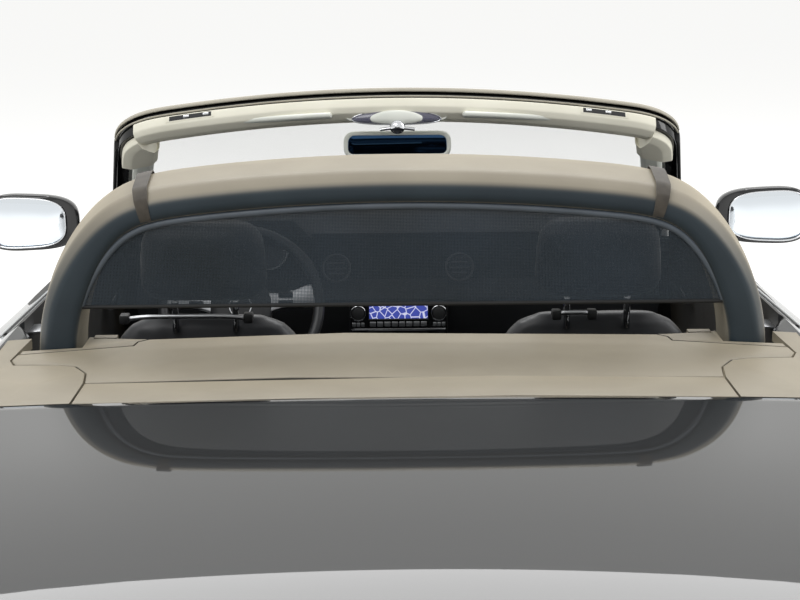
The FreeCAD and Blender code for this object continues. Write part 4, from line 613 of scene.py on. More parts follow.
def makeWings():
    for sideName, side in leftRight:
        rows = sideRows(body["doorFront"] + body["gap"], body["wingFront"], 70)
        wing = panelSkin("wing_skin_" + sideName, [rows], side)
        below = sideBox(side, (body["bumperFront"] - 3, 2400), body["bumperTop"] + body["seam"])
        combined(wing, [wheelDrum(body["frontAxle"], body["archRadius"], side), below])
        keepPlug("headlamp_" + sideName, wing, lampCutter(headlampForm, side, -0.5, headlampForm["rear"], 2300))
        combined(wing, [lampCutter(headlampForm, side, body["seam"], headlampForm["rear"], 2300)])
        paintPanel(wing, "wing_" + sideName)


def endPoint(isFront, phi, z):  # on the rounded plan of nose or tail; phi is 0 at the side
    start, power, reach = endForms[isFront]
    full = bodyLine(halfWidth, start) - sideInset(start, z)
    far = along(reachLevels, reach, z) - start
    return Vector((full * max(math.cos(phi), 0) ** (2 / power), start + far * math.sin(phi) ** (2 / power), z))


def phiAtY(isFront, y, z):
    start, power, reach = endForms[isFront]
    return math.asin(min(((y - start) / (along(reachLevels, reach, z) - start)) ** (power / 2), 1))


def phiAtX(isFront, x, z):
    start, power = endForms[isFront][:2]
    return math.acos(min((x / (bodyLine(halfWidth, start) - sideInset(start, z))) ** (power / 2), 1))


def phiAcross(isFront, y, z, share):  # a share of the way from a place along the side to the car's middle
    start = phiAtY(isFront, y, z)
    return start + (math.pi / 2 - start) * share


def tailPoint(x, z):  # on the tail's face
    point = endPoint(False, phiAtX(False, abs(x), z), z)
    point.x = x
    return point


def changePlace(a, b, isBefore):  # where a test along a span stops being true
    for step in range(40):
        middle = (a + b) / 2
        a, b = (middle, b) if isBefore(middle) else (a, middle)
    return a


def skyZ(x, y):  # height of the body's top surface
    x, half = abs(x), bodyLine(deckHalf, y)
    if x <= half:
        return deckZ(x, y)
    rise = bodyLine(shoulder, y)
    topX = sideX(min(max(y, body["tailRound"]), body["noseRound"]), rise) - body["shoulderRound"]
    crest = rise + body["shoulderRise"]
    if x <= topX:
        return bodyLine(deckEdge, y) + (crest - bodyLine(deckEdge, y)) * (x - half) / (topX - half)
    return crest + (rise - 90 - crest) * (x - topX) / (1200 - topX)


def endColumn(isFront, phiOf, low, target):  # from low up the end's face, round the rim and in over the top to (x, y)
    reach = 34

    def isBelow(z):
        p = endPoint(isFront, phiOf(z), z)
        return z - skyZ(p.x, p.y) < 0

    top = changePlace(low, 1000, isBelow)
    rim = endPoint(isFront, phiOf(top), top)
    face = [endPoint(isFront, phiOf(z), z) for z in spread(low, max(top - reach, low + 1), 12)]
    goal = Vector((target[0], target[1], skyZ(*target)))
    way = goal - rim
    inner = rim + way * min(reach / max(way.length, 1e-6), 0.45)
    inner.z = skyZ(inner.x, inner.y)
    over = []
    for t in spread(0, 1, 10)[1:]:
        p = inner + (goal - inner) * t
        p.z = skyZ(p.x, p.y)
        over.append(p)
    return face + curved(face[-1], rim, inner, 8)[1:] + over


def mirroredRows(rows):  # columns of the right half, carried on over the left half
    left = [[Vector((-p.x, p.y, p.z)) for p in row] for row in rows]
    return rows + list(reversed(left))[1:]


def lidEndY(share):  # where the boot lid's top meets the tail, for a share of its half width
    def isAhead(y):
        x = share * (bodyLine(deckHalf, y) - body["gap"])
        z = deckZ(x, y)
        return y > endPoint(False, phiAtX(False, x, z), z).y

    return changePlace(-1600, -2260, isAhead)


def lidFaceHalf(z):  # half width of the boot lid's rear face, which widens to the top
    return body["lidFaceHalf"] + (lidCornerHalf - body["lidFaceHalf"]) * smoothStep((z - 850) / 70)


lidCornerY = lidEndY(1.0)
lidCornerHalf = bodyLine(deckHalf, lidCornerY) - body["gap"]


def tailCornerColumns(low, count=26):  # the quarter's rear corner, from its straight side round to the boot lid
    columns = []
    for t in spread(0, 1, count):
        def phiOf(z, t=t):
            a, b = phiAtY(False, body["quarterRear"], z), phiAtX(False, lidFaceHalf(z) + body["gap"], z)
            return a + (b - a) * t

        y = body["quarterRear"] + (lidCornerY - body["quarterRear"]) * t
        columns.append(endColumn(False, phiOf, low, (bodyLine(deckHalf, y) + body["gap"], y)))
    return columns


def makeQuarters():
    low = body["rearBumperTop"] + body["seam"]
    for sideName, side in leftRight:
        rows = sideRows(body["quarterRear"], body["doorRear"] - body["gap"], 60)
        quarter = panelSkin("quarter_skin_" + sideName, [rows], side)
        corner = panelSkin("quarter_corner_" + sideName, [tailCornerColumns(low)], side)
        below = sideBox(side, (-2400, body["bumperRear"] + 3), low)
        combined(quarter, [wheelDrum(body["rearAxle"], body["archRadius"], side), below])
        keepPlug("tail_lamp_" + sideName, corner, lampCutter(tailLampForm, side, -0.5, -2300, -1940))
        combined(corner, [lampCutter(tailLampForm, side, body["seam"], -2300, -1940)])
        paintPanel(quarter, "quarter_" + sideName)
        paintPanel(corner)


def makeBonnet():
    rows = []
    for y in spread(body["bonnetRear"], body["bonnetFront"], 80):
        half = bodyLine(deckHalf, y) - max(4 - (y - body["bonnetRear"]) / 60, 0)
        rows.append([Vector((x, y, deckZ(x, y))) for x in spread(-half, half, 60)])
    paintPanel(panelSkin("bonnet_skin", [rows]), "bonnet", on="bonnet")


def makeBootLid():
    def topPoint(share, y):
        x = share * (bodyLine(deckHalf, y) - body["gap"])
        return Vector((x, y, deckZ(x, y)))

    columns = []
    for share in spread(-1, 1, 61):
        top = [topPoint(share, y) for y in spread(body["lidFront"], lidEndY(abs(share)), 40)]
        rim = top[-1]
        face = [tailPoint(share * lidFaceHalf(z), z) for z in spread(rim.z, body["lidFaceLow"], 24)]
        bendStart = next(p for p in top if (rim - p).length < 45)
        bendEnd = next(p for p in face if (p - rim).length > 32)
        upper = [topPoint(share, y) for y in spread(body["lidFront"], bendStart.y, 36)[:-1]]
        lower = [tailPoint(share * lidFaceHalf(z), z) for z in spread(bendEnd.z, body["lidFaceLow"], 20)[1:]]
        columns.append(upper + curved(bendStart, rim, bendEnd, 9) + lower)
    paintPanel(panelSkin("boot_lid_skin", [columns]), "boot_lid", on="boot_lid")


def makeRearBumper():
    rows = [[endPoint(False, phiAcross(False, body["bumperRear"], z, t), z)
             for z in spread(body["rearBumperLow"], body["rearBumperTop"], 26)] for t in spread(0, 1, 60)]
    bumper = panelSkin("rear_bumper_skin", [mirroredRows(rows)])
    cutters = []
    for side in (-1, 1):
        cutters.append(prismAlongY("pipeCut", ellipseOutline(side * 330, 235, 100, 48), -2300, -2000))
        cutters.append(wheelDrum(body["rearAxle"], body["wellRadius"] - 15, side))
    paintPanel(combined(bumper, cutters), "rear_bumper")


grilleForm = {"half": 330, "low": 478, "high": 640, "intakeHalf": 430, "intakeLow": 205, "intakeHigh": 320,
              "fogX": 610, "fogZ": 290, "fogWide": 88, "fogHigh": 46}


def slotOutline(half, low, high, sides=24):  # a slot with round ends
    radius, middle = (high - low) / 2, (high + low) / 2
    outline = []
    for centre, start in ((half - radius, -90), (radius - half, 90)):
        outline += [(centre + radius * math.cos(math.radians(start + 180 * k / sides)),
                     middle + radius * math.sin(math.radians(start + 180 * k / sides))) for k in range(sides + 1)]
    return outline


def noseTargets(count):  # where the nose panel ends at the wing's front line and round the bonnet's front corner
    front = body["bonnetFront"] + body["gap"]
    corner = bodyLine(deckHalf, front) + body["gap"]
    sideRun, frontRun = front - body["wingFront"] - 3, corner
    targets = []
    for t in spread(0, 1, count):
        run = t * (sideRun + frontRun)
        if run < sideRun:
            y = body["wingFront"] + 3 + run
            targets.append((bodyLine(deckHalf, y) + body["gap"], y))
        else:
            targets.append((max(corner - (run - sideRun), 0), front))
    return targets


def noseColumns(low, count):
    return [endColumn(True, lambda z, t=t: phiAcross(True, body["wingFront"] + 3, z, t), low, target)
            for t, target in zip(spread(0, 1, count), noseTargets(count))]


def makeFrontBumper():
    levels, wingEnd, count = spread(body["sillBottom"], body["bumperTop"], 26), body["wingFront"] + 3, 60
    low = []
    for t in spread(0, 1, 16)[:-1]:  # under the wing
        turned = [(phiAtY(True, body["bumperFront"], z), phiAtY(True, wingEnd, z)) for z in levels]
        low.append([endPoint(True, a + (b - a) * t, z) for z, (a, b) in zip(levels, turned)])
    for t in spread(0, 1, count):
        low.append([endPoint(True, phiAcross(True, wingEnd, z, t), z) for z in levels])
    upper = noseColumns(body["bumperTop"], count)
    bumper = panelSkin("front_bumper_skin", [mirroredRows(low), mirroredRows(upper)])
    form = grilleForm
    intake = slotOutline(form["intakeHalf"], form["intakeLow"], form["intakeHigh"])
    grille = slotOutline(form["half"] + body["seam"], form["low"] - body["seam"], form["high"] + body["seam"])
    cutters = [prismAlongY("slot", outline, 1900, 2400) for outline in (grille, intake)]
    keepPlug("intake", bumper, prismAlongY("intake", intake, 1900, 2400), True)
    for sideName, side in leftRight:
        fog = ellipseOutline(side * form["fogX"], form["fogZ"], form["fogWide"], form["fogHigh"])
        keepPlug("fog_" + sideName, bumper, prismAlongY("fog", fog, 1900, 2400), True)
        cutters += [prismAlongY("fog", fog, 1900, 2400), wheelDrum(body["frontAxle"], body["wellRadius"], side)]
    combined(bumper, cutters)
    for sideName, side in leftRight:
        keepPlug("headlamp_" + sideName, bumper, lampCutter(headlampForm, side, -0.5, headlampForm["rear"], 2300),
                 True)
    lamps = [lampCutter(headlampForm, side, body["seam"], headlampForm["rear"], 2300) for sideName, side in leftRight]
    paintPanel(combined(bumper, lamps, tangled=True), "front_bumper")


def makeRockers():
    low, high, inner = body["sillBottom"], body["doorBottom"] - body["gap"], 736
    rows = []
    for y in spread(body["rearAxle"] + body["archRadius"] + 20, body["frontAxle"] - body["archRadius"] - 20, 40):
        outer = [Vector((sideX(y, z), y, z)) for z in spread(low + 8, high - 4, 10)]
        below = [Vector((inner + 30, y, low)), Vector((outer[0].x - 12, y, low))]
        rows.append(below + outer + [Vector((outer[-1].x - 5, y, high)), Vector((inner, y, high))])
    for sideName, side in leftRight:
        rocker = panelSkin("rocker_skin_" + sideName, [rows], side, 12)
        settle(rocker, "paint", "paint", "rocker_" + sideName)


makeWings()
makeQuarters()
makeBonnet()
makeBootLid()
makeRearBumper()
makeFrontBumper()
makeRockers()
print("painted panels made")


# curves that pieces follow

def arcThrough(a, b, c, steps):  # points of the arc through three (u, v) points
    (ax, ay), (bx, by), (cx, cy) = a, b, c
    d = 2 * (ax * (by - cy) + bx * (cy - ay) + cx * (ay - by))
    if abs(d) < 1e-6:
        return [(ax + (cx - ax) * t, ay + (cy - ay) * t) for t in spread(0, 1, steps)]
    ux = ((ax ** 2 + ay ** 2) * (by - cy) + (bx ** 2 + by ** 2) * (cy - ay) + (cx ** 2 + cy ** 2) * (ay - by)) / d
    uy = ((ax ** 2 + ay ** 2) * (cx - bx) + (bx ** 2 + by ** 2) * (ax - cx) + (cx ** 2 + cy ** 2) * (bx - ax)) / d
    radius = math.hypot(ax - ux, ay - uy)
    start, middle, end = (math.atan2(v - uy, u - ux) for u, v in (a, b, c))
    while middle - start > math.pi:
        middle -= math.tau
    while middle - start < -math.pi:
        middle += math.tau
    while end - middle > math.pi:
        end -= math.tau
    while end - middle < -math.pi:
        end += math.tau
    return [(ux + radius * math.cos(start + (end - start) * t), uy + radius * math.sin(start + (end - start) * t))
            for t in spread(0, 1, steps)]


def evened(points, count, rounds=0):  # the same run with evenly spaced points, its kinks relaxed over some rounds
    def resampled(run):
        lengths = [0.0]
        for a, b in zip(run, run[1:]):
            lengths.append(lengths[-1] + math.dist(a, b))
        made, i = [], 0
        for k in range(count):
            goal = lengths[-1] * k / (count - 1)
            while i < len(run) - 2 and lengths[i + 1] < goal:
                i += 1
            t = (goal - lengths[i]) / max(lengths[i + 1] - lengths[i], 1e-9)
            made.append(tuple(u + (v - u) * t for u, v in zip(run[i], run[i + 1])))
        return made

    run = resampled(points)
    for step in range(rounds):
        run = [run[0]] + [tuple((u + 2 * v + w) / 4 for u, v, w in zip(a, b, c))
                          for a, b, c in zip(run, run[1:], run[2:])] + [run[-1]]
    return resampled(run)


def normalsOf(run):  # the unit direction to the left of a flat run, at each of its points
    spans = [(run[max(i - 1, 0)], run[min(i + 1, len(run) - 1)]) for i in range(len(run))]
    return [(-(b[1] - a[1]) / math.dist(a, b), (b[0] - a[0]) / math.dist(a, b)) for a, b in spans]


def roundedLoop(corners, reach, steps=4):  # a closed flat outline with its corners curved
    points = [Vector(c).to_3d() for c in corners]
    loop = []
    for i, corner in enumerate(points):
        loop += bentCorner(points[i - 1], corner, points[(i + 1) % len(points)], reach, steps)
    return [(p.x, p.y) for p in loop]


def endFade(t, share):  # 1 along the middle, easing down to small at both ends
    edge = min(t, 1 - t) / share
    return 1 if edge >= 1 else math.sqrt(max(1 - (1 - edge) ** 2, 0.02))


def tubePiece(name, run, radius, sides=12, closed=False):  # a round tube along points in metres
    rings = []
    points = [Vector(p) for p in run]
    up = None
    for i, p in enumerate(points):
        before = points[i - 1] if i or closed else p
        after = points[(i + 1) % len(points)] if i < len(points) - 1 or closed else p
        forward = (after - before).normalized()
        if up is None:
            up = forward.orthogonal().normalized()
        up = (up - forward * up.dot(forward)).normalized()
        right = forward.cross(up)
        rings.append([p + (up * math.cos(a) + right * math.sin(a)) * radius for a in turns(sides)])
    return sweptPiece(name, rings, closed)


def joinedPieces(name, pieces):
    whole = bmesh.new()
    for piece in pieces:
        whole.from_mesh(piece.data)
        bpy.data.objects.remove(piece)
    mesh = bpy.data.meshes.new(name)
    whole.to_mesh(mesh)
    whole.free()
    return newPiece(name, mesh)


def softenedCopy(nodeName, name, width, segments=3, angle=30):  # a CAD node's shape with its edges rounded
    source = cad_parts[nodeName]
    mesh = source.data.copy()
    mesh.transform(source.matrix_world)
    mesh.materials.clear()
    piece = newPiece(name, mesh)
    loose = bmesh.new()
    loose.from_mesh(mesh)
    bmesh.ops.remove_doubles(loose, verts=loose.verts, dist=2e-5)
    bmesh.ops.dissolve_limit(loose, angle_limit=math.radians(1.5), verts=loose.verts, edges=loose.edges)
    loose.to_mesh(mesh)
    loose.free()
    return roundedEdges(piece, width, segments, angle) if width else piece


# Roll-over hoop, its straps, and the wind deflector inside it

hoopForm = {
    "outline": ((642, 905), (640, 984), (613, 1079), (549, 1180), (514, 1212), (427, 1244), (0, 1271)),
    "rear": -980, "front": -830, "thick": 66, "legThick": 76, "points": 150,
}


def hoopRun(inset=0.0, count=None):  # the hoop's outline from the left foot over to the right foot, as (x, z)
    p = hoopForm["outline"]
    left = [(-x, z) for x, z in p]
    half = [left[0]] + arcThrough(left[1], left[2], left[3], 20) + arcThrough(left[3], left[4], left[5], 14)[1:]
    middle = arcThrough(left[5], left[6], p[5], 60)[1:]
    run = half + middle + [(-x, z) for x, z in reversed(half[:-1])]
    run = evened(run, count or hoopForm["points"], 30)
    return [(x - nx * inset, z - nz * inset) for (x, z), (nx, nz) in zip(run, normalsOf(run))]


def legShare(z):  # 1 low in the legs, 0 along the top
    return smoothStep((1235 - z) / 180)


def hoopSection(leg, grow=0.0):  # closed loop of (y, inset) round the hoop's section
    thick = hoopForm["thick"] + (hoopForm["legThick"] - hoopForm["thick"]) * leg
    rear, front = hoopForm["rear"], hoopForm["front"]
    crease = 30 - 6 * leg
    corners = ((rear, crease + 3), (rear + 26, 12 - 2 * leg), (rear + 100, 1), (front - 20, 0), (front, 16),
               (front, thick - 8), (front - 8, thick), (rear + 8, thick), (rear, thick - 8))
    loop = roundedLoop(corners, 9, 3)
    return [(y + (grow if y > (rear + front) / 2 else -grow) * 0.7, inset + (grow if inset > thick / 2 else -grow))
            for y, inset in loop]


def hoopPoint(xz, normal, y, inset):
    return at(xz[0] - normal[0] * inset, y, xz[1] - normal[1] * inset)


def makeHoop():
    run = hoopRun()
    rings = [[hoopPoint(xz, normal, y, inset) for y, inset in hoopSection(legShare(xz[1]))]
             for xz, normal in zip(run, normalsOf(run))]
    settle(markUpward(sweptPiece("hoop_shell", rings)), "hoop", "hoop", "roll_hoop", angle=50)


strapForm = {"x": 447, "width": 25, "thick": 1.4, "slack": 1.2}


def makeStraps():
    run = hoopRun(count=900)
    normals = normalsOf(run)
    for sideName, side in leftRight:
        middle = min(range(len(run)), key=lambda i: abs(run[i][0] - side * strapForm["x"]))
        half = 1
        while math.dist(run[middle - half], run[middle + half]) < strapForm["width"]:
            half += 1
        rings = []
        for i in range(middle - half, middle + half + 1, 2):
            leg = legShare(run[i][1])
            rings.append([[hoopPoint(run[i], normals[i], y, inset) for y, inset in hoopSection(leg, grow)]
                          for grow in (strapForm["slack"], strapForm["slack"] + strapForm["thick"])])
        count, loops = len(rings[0][0]), len(rings)
        points = [p for layer in (0, 1) for ring in rings for p in ring[layer]]
        faces = gridFaces(loops, count, closed=True) + gridFaces(loops, count, closed=True, start=loops * count)
        for start in (0, (loops - 1) * count):
            faces += [(start + j, start + (j + 1) % count, loops * count + start + (j + 1) % count,
                       loops * count + start + j) for j in range(count)]
        strap = outwardNormals(meshPiece("hoop_strap_" + sideName, points, faces))
        settle(strap, "webbing", "deflector", angle=60)


deflectorForm = {"y": -966, "tube": 6.5, "inset": 72, "bottom": 1025, "hem": 3.5}


def makeDeflector():
    form = deflectorForm
    run = [(x, z) for x, z in hoopRun(form["inset"], 160) if z > form["bottom"]]
    path = [at(x, form["y"], z) for x, z in run]
    settle(tubePiece("deflector_tube", path, form["tube"] * mm), "tubeGrey", "deflector", angle=60)
    hem = [Vector((x, form["y"] * mm, (form["bottom"] + 2) * mm)) for x in spread(path[0].x, path[-1].x, 60)]
    settle(tubePiece("deflector_hem", hem, form["hem"] * mm, 10), "seal", "deflector", angle=60)
    columns, rows = 64, 22
    grid = []
    inner = [(x, z) for x, z in hoopRun(form["inset"] + 3, 400) if z > form["bottom"]]
    for x in spread(inner[0][0], inner[-1][0], columns):
        top = min(inner, key=lambda place: abs(place[0] - x) - place[1] * 1e-4)[1]
        column = []
        for z in spread(form["bottom"] + 2, max(top, form["bottom"] + 6), rows):
            share = (z - form["bottom"]) / 190
            hollow = 2.5 * math.sin(math.pi * min(share, 1)) * math.cos(x / 531 * math.pi / 2)
            column.append(at(x, form["y"] + hollow, z))
        grid.append(column)
    net = outwardNormals(meshPiece("deflector_net", [p for column in grid for p in column], gridFaces(columns, rows)))
    settle(net, "net", "deflector", "wind_deflector", angle=60)


def makeRoofCover():
    for nodeName in ("roof_cover_strip", "roof_cover_middle", "roof_cover_corner_left", "roof_cover_corner_right",
                     "hoop_surround_left", "hoop_surround_right"):
        panel = softenedCopy(nodeName, nodeName + "_skin", 0.0025, 3)
        settle(markUpward(panel), "cover", "cover", nodeName, angle=40)


makeHoop()
makeStraps()
makeDeflector()
makeRoofCover()
print("hoop, deflector and roof cover made")


# Windscreen: places are given across it, up along it and out from its middle line, in mm

screenForm = {
    "baseY": 745, "baseZ": 930, "topY": 172, "topZ": 1258, "cornerX": 634, "footX": 738, "footUp": 52, "turn": 75,
    "bow": 72, "bowAt": 612, "glass": 6,
}
screenLength = math.dist((screenForm["baseY"], screenForm["baseZ"]), (screenForm["topY"], screenForm["topZ"]))
screenUp = Vector((0, screenForm["topY"] - screenForm["baseY"], screenForm["topZ"]
                   - screenForm["baseZ"])) / screenLength
screenOut = Vector((0, screenUp.z, -screenUp.y))


def onScreen(x, up, out):
    bow = screenForm["bow"] * (x / screenForm["bowAt"]) ** 2
    base = Vector((x, screenForm["baseY"], screenForm["baseZ"]))
    return (base + screenUp * up + screenOut * (out - bow)) * mm


def screenRun(count):  # the frame's outer edge from the left foot over the header to the right foot: (x, up)
    form = screenForm
    foot, top = (form["footX"], form["footUp"]), screenLength + 40
    corner, turn = form["cornerX"], form["turn"]
    lean = (foot[0] - corner) / (top - foot[1])
    start, bend = (corner + lean * turn, top - turn), (corner - turn * 0.27, top - turn * 0.3)
    end = (corner - turn, top - 6)
    header = arcThrough(end, (0, screenLength), (-end[0], end[1]), 60)[1:31]
    right = [foot, start] + arcThrough(start, bend, end, 12)[1:] + header
    left = [(-x, up) for x, up in right]
    return evened(left + list(reversed(right))[1:], count, 6)


def alongScreen(name, section, low, high, count):  # a section of (inward, out) swept along the frame's edge
    run = screenRun(count)
    normals = normalsOf(run)
    first, last = int(low * (count - 1)), int(high * (count - 1))
    rings = []
    for (x, up), (nx, nu) in list(zip(run, normals))[first:last + 1]:
        rings.append([onScreen(x - nx * inward, up - nu * inward, out) for inward, out in section])
    return sweptPiece(name, rings)


def shareAt(x, count):  # how far along the frame's edge the header reaches a place across the car
    run = screenRun(count)
    upper = [i for i, place in enumerate(run) if place[1] > 0.75 * screenLength]
    return min(upper, key=lambda i: abs(run[i][0] - x)) / (count - 1)


# Look, slot, nodes replaced, outline of (inward, out), and the shares of the edge where each starts and ends
headerSections = {
    "screen_frame": ("glossPlastic", "screen_frame", ("windscreen_frame",), (
        (0, -38), (0, 2), (8, 5.5), (40, 5.5), (45, 3), (45, -4), (38, -38)), 0.0, 1.0),
    "header_strip": ("headerSeal", "screen_frame", (), (
        (-9, -1), (-8, 7), (0, 12), (20, 11), (25, 5.8), (2, 5.8), (-3, 3), (-4, -1)), 0.225, 0.775),
    "header_lip": ("headerSeal", "screen_frame", (), (
        (-5, -9), (-8, -11), (-7, -14), (-3, -14), (-2, -10)), 0.225, 0.775),
    "header_cover": ("cream", "trim", ("windscreen_trim",), (
        (-4, -15), (-8, -18), (-8, -38), (0, -50), (22, -57), (50, -53), (58, -40), (50, -36), (2, -36)),
        0.262, 0.738),
    "pillar_seal": ("seal", "screen_frame", (), (
        (-7, -36), (-9, -10), (-4, 5), (5, 5.5), (3, -10), (1, -34)), 0.015, 0.228),
    "pillar_cover": ("paleTrim", "trim", (), (
        (36, -37), (37, -54), (48, -60), (76, -58), (86, -49), (88, -20), (82, -9), (76, -9), (68, -30)),
        0.05, 0.206),
    "corner_cap": ("cream", "trim", (), (
        (10, -39), (12, -58), (34, -66), (82, -64), (94, -52), (95, -20), (88, -9), (80, -10), (60, -34)),
        0.202, 0.266),
}


def makeScreen():
    for name, (look, slotName, replaced, outline, low, high) in headerSections.items():
        section = roundedLoop(outline, 3, 3)
        runs = [(name, low, high)]
        if high < 0.5:
            runs = [(name + "_left", low, high), (name + "_right", 1 - high, 1 - low)]
        for runName, start, end in runs:
            strip = alongScreen(runName, section, start, end, 200)
            settle(strip, look, slotName, *replaced, angle=50)


def makePane():
    run = screenRun(90)
    low, inset = 44, 40
    high = run[45][1] - normalsOf(run)[45][1] * inset
    rows = []
    for up in spread(low, high, 41):
        reach = screenForm["footX"] - inset - (screenForm["footX"] - screenForm["cornerX"]) * (up / screenLength)
        rows.append([onScreen(x, up, 1.2) for x in spread(-reach, reach, 61)])
    glass = skinPiece("windscreen_glass", [rows], screenForm["glass"] * mm)
    settle(glass, "screen", "windscreen", "windscreen", angle=50)


def latchPart(name, outline, side, x0, x1):
    return alongScreen(name, outline, *sorted((shareAt(side * x0, 400), shareAt(side * x1, 400))), 400)


def makeLatches():  # sockets in the header's cover that take the roof's hooks
    rim = roundedLoop([(-9.2, -17.5), (-9.2, -34), (-5, -34), (-5, -17.5)], 1.5, 2)
    pocket = roundedLoop([(-9.8, -19.5), (-9.8, -31), (-6, -31), (-6, -19.5)], 1.2, 2)
    shank = [(-8.5 + 4.6 * math.cos(a), -25.5 + 4.6 * math.sin(a)) for a in turns(24)]
    for sideName, side in leftRight:
        settle(latchPart("latch_rim_" + sideName, rim, side, 421, 525), "cream", "trim", angle=50)
        socket = latchPart("latch_socket_" + sideName, pocket, side, 428, 520)
        settle(socket, "blackPlastic", "trim", angle=50)
        pins = [latchPart("pin", shank, side, x0, x1) for x0, x1 in ((431, 443), (474, 487))]
        settle(joinedPieces("latch_pins_" + sideName, pins), "chrome", "trim", angle=40)


visorForm = {"inner": 148, "outer": 530, "innerZ": 1206, "outerZ": 1184, "thick": 7.5, "y": 152, "innerDeep": 23,
             "outerDeep": 16}


def makeVisors():  # folded up, so that the view from behind meets their rounded rear edge
    form = visorForm
    for sideName, side in leftRight:
        rings = []
        for t in spread(0, 1, 60):
            x = side * (form["inner"] + (form["outer"] - form["inner"]) * t)
            fade = endFade(t, 0.022)
            z = form["innerZ"] + (form["outerZ"] - form["innerZ"]) * t ** 1.25
            deep = form["innerDeep"] + (form["outerDeep"] - form["innerDeep"]) * t
            ring = [(deep * fade * eased(math.cos(a), 0.6), form["thick"] * fade * eased(math.sin(a), 0.7))
                    for a in turns(32)]
            rings.append([at(x, form["y"] - 14 * t + u, z + 2 + v - 0.2 * u) for u, v in ring])
        replaced = ("sun_visors",) if side < 0 else ()
        settle(sweptPiece("sun_visor_" + sideName, rings), "paleTrim", "trim", *replaced, angle=50)
        pivot = [at(side * x, 158, z) for x, z in ((166, 1207), (140, 1210), (128, 1220))]
        settle(tubePiece("visor_pivot_" + sideName, pivot, 5.5 * mm, 16), "blackPlastic", "trim", angle=50)


insideMirror = {"half": 126, "low": 1100, "high": 1163, "rear": 196, "front": 224}


def makeInteriorMirror():
    form = insideMirror
    wide, high, middle = form["half"], (form["high"] - form["low"]) / 2, (form["high"] + form["low"]) / 2

    def loop(inset, y):
        corners = roundedLoop([(-wide + inset, middle - high + inset), (wide - inset, middle - high + inset),
                               (wide - inset * 1.2, middle + high - inset),
                               (-wide + inset * 1.2, middle + high - inset)], 26 - inset, 6)
        return [at(x, y, z + 3 * math.cos(x / wide * 1.4)) for x, z in corners]

    steps = ((9.5, 3), (9.2, 0.5), (6, -1), (1.5, 1), (0, 6), (0.5, 12))
    rings = [loop(inset, form["rear"] + y) for inset, y in steps]
    rings += [loop(6, form["front"] - 5), loop(18, form["front"])]
    settle(sweptPiece("interior_mirror_shell", rings), "paleTrim", "mirror_housing",
           "interior_mirror", angle=50)
    pane = [loop(inset, form["rear"] + y) for inset, y in ((9.6, 2.6), (9.6, 1.6), (11, 1.1))]
    glass = sweptPiece("interior_mirror_glass", pane)
    settle(glass, "darkMirror", "mirror_glass", angle=50)
    stalk = [Vector(p) * mm for p in ((0, 220, 1146), (0, 232, 1163), (0, 238, 1186), (0, 226, 1206))]
    settle(tubePiece("interior_mirror_stalk", stalk, 8 * mm, 20), "paleTrim", "mirror_housing", angle=50)


def makeRoofConsole():  # pale console under the header: an oval lamp with clear ends and a bright knob below
    rings = []
    for inset, y in ((14, 160), (3, 154), (0, 160), (0, 200), (8, 214)):
        corners = roundedLoop([(-112 + inset, 1192 + inset * 0.5), (108 - inset, 1192 + inset * 0.5),
                               (142 - inset, 1226 - inset * 0.3), (-146 + inset, 1226 - inset * 0.3)], 12, 5)
        rings.append([at(x, y, z) for x, z in corners])
    settle(sweptPiece("roof_console", rings), "paleTrim", "trim", angle=40)

    def oval(half, high, x, z, y):
        return [at(x + half * math.cos(a), y, z + high * math.sin(a) * (1 + 0.25 * math.sin(a)))
                for a in turns(64)]

    lens = [oval(104 * s, 17 * s, -2, 1199, y) for s,
            y in ((1.0, 158), (0.99, 150), (0.9, 146), (0.5, 142.5), (0.05, 141.5))]
    settle(sweptPiece("roof_lamp_lens", lens), "smokedLens", "trim", angle=60)
    middle = [oval(64 * s, 16.4 * s, -2, 1200, y) for s, y in ((1.0, 150), (0.98, 144), (0.8, 140.5), (0.05, 138.5))]
    settle(sweptPiece("roof_lamp_middle", middle), "paleTrim", "trim", angle=60)
    rim = tubePiece("roof_lamp_rim", oval(103, 16.8, -2, 1199, 149), 1.5 * mm, 8, closed=True)
    settle(rim, "chrome", "trim", angle=60)
    knob = [[at(r * math.cos(a), y, 1182 + r * 0.9 * math.sin(a)) for a in turns(40)]
            for r, y in ((18, 150), (18, 138), (15, 133), (9, 129), (1, 127.5))]
    settle(sweptPiece("roof_lamp_knob", knob), "chrome", "trim", angle=60)
    bar = [at(x, 138, 1180 - 4 * (x / 40) ** 2) for x in spread(-40, 40, 20)]
    settle(tubePiece("roof_lamp_bar", bar, 4 * mm, 12), "chrome", "trim", angle=60)


makeScreen()
makePane()
makeLatches()
makeVisors()
makeInteriorMirror()
makeRoofConsole()
print("windscreen, visors and interior mirror made")


# Doors: painted outer skin, trimmed inside, belt strip, handle, lock pin, and the mirrors that ride on them

def beltPoint(side, y, inward=0.0, above=0.0):  # on the door's top outer edge
    rise = bodyLine(shoulder, y)
    topX = sideX(y, rise) - body["shoulderRound"]
    return at(side * (topX - inward), y, rise + body["shoulderRise"] + above)


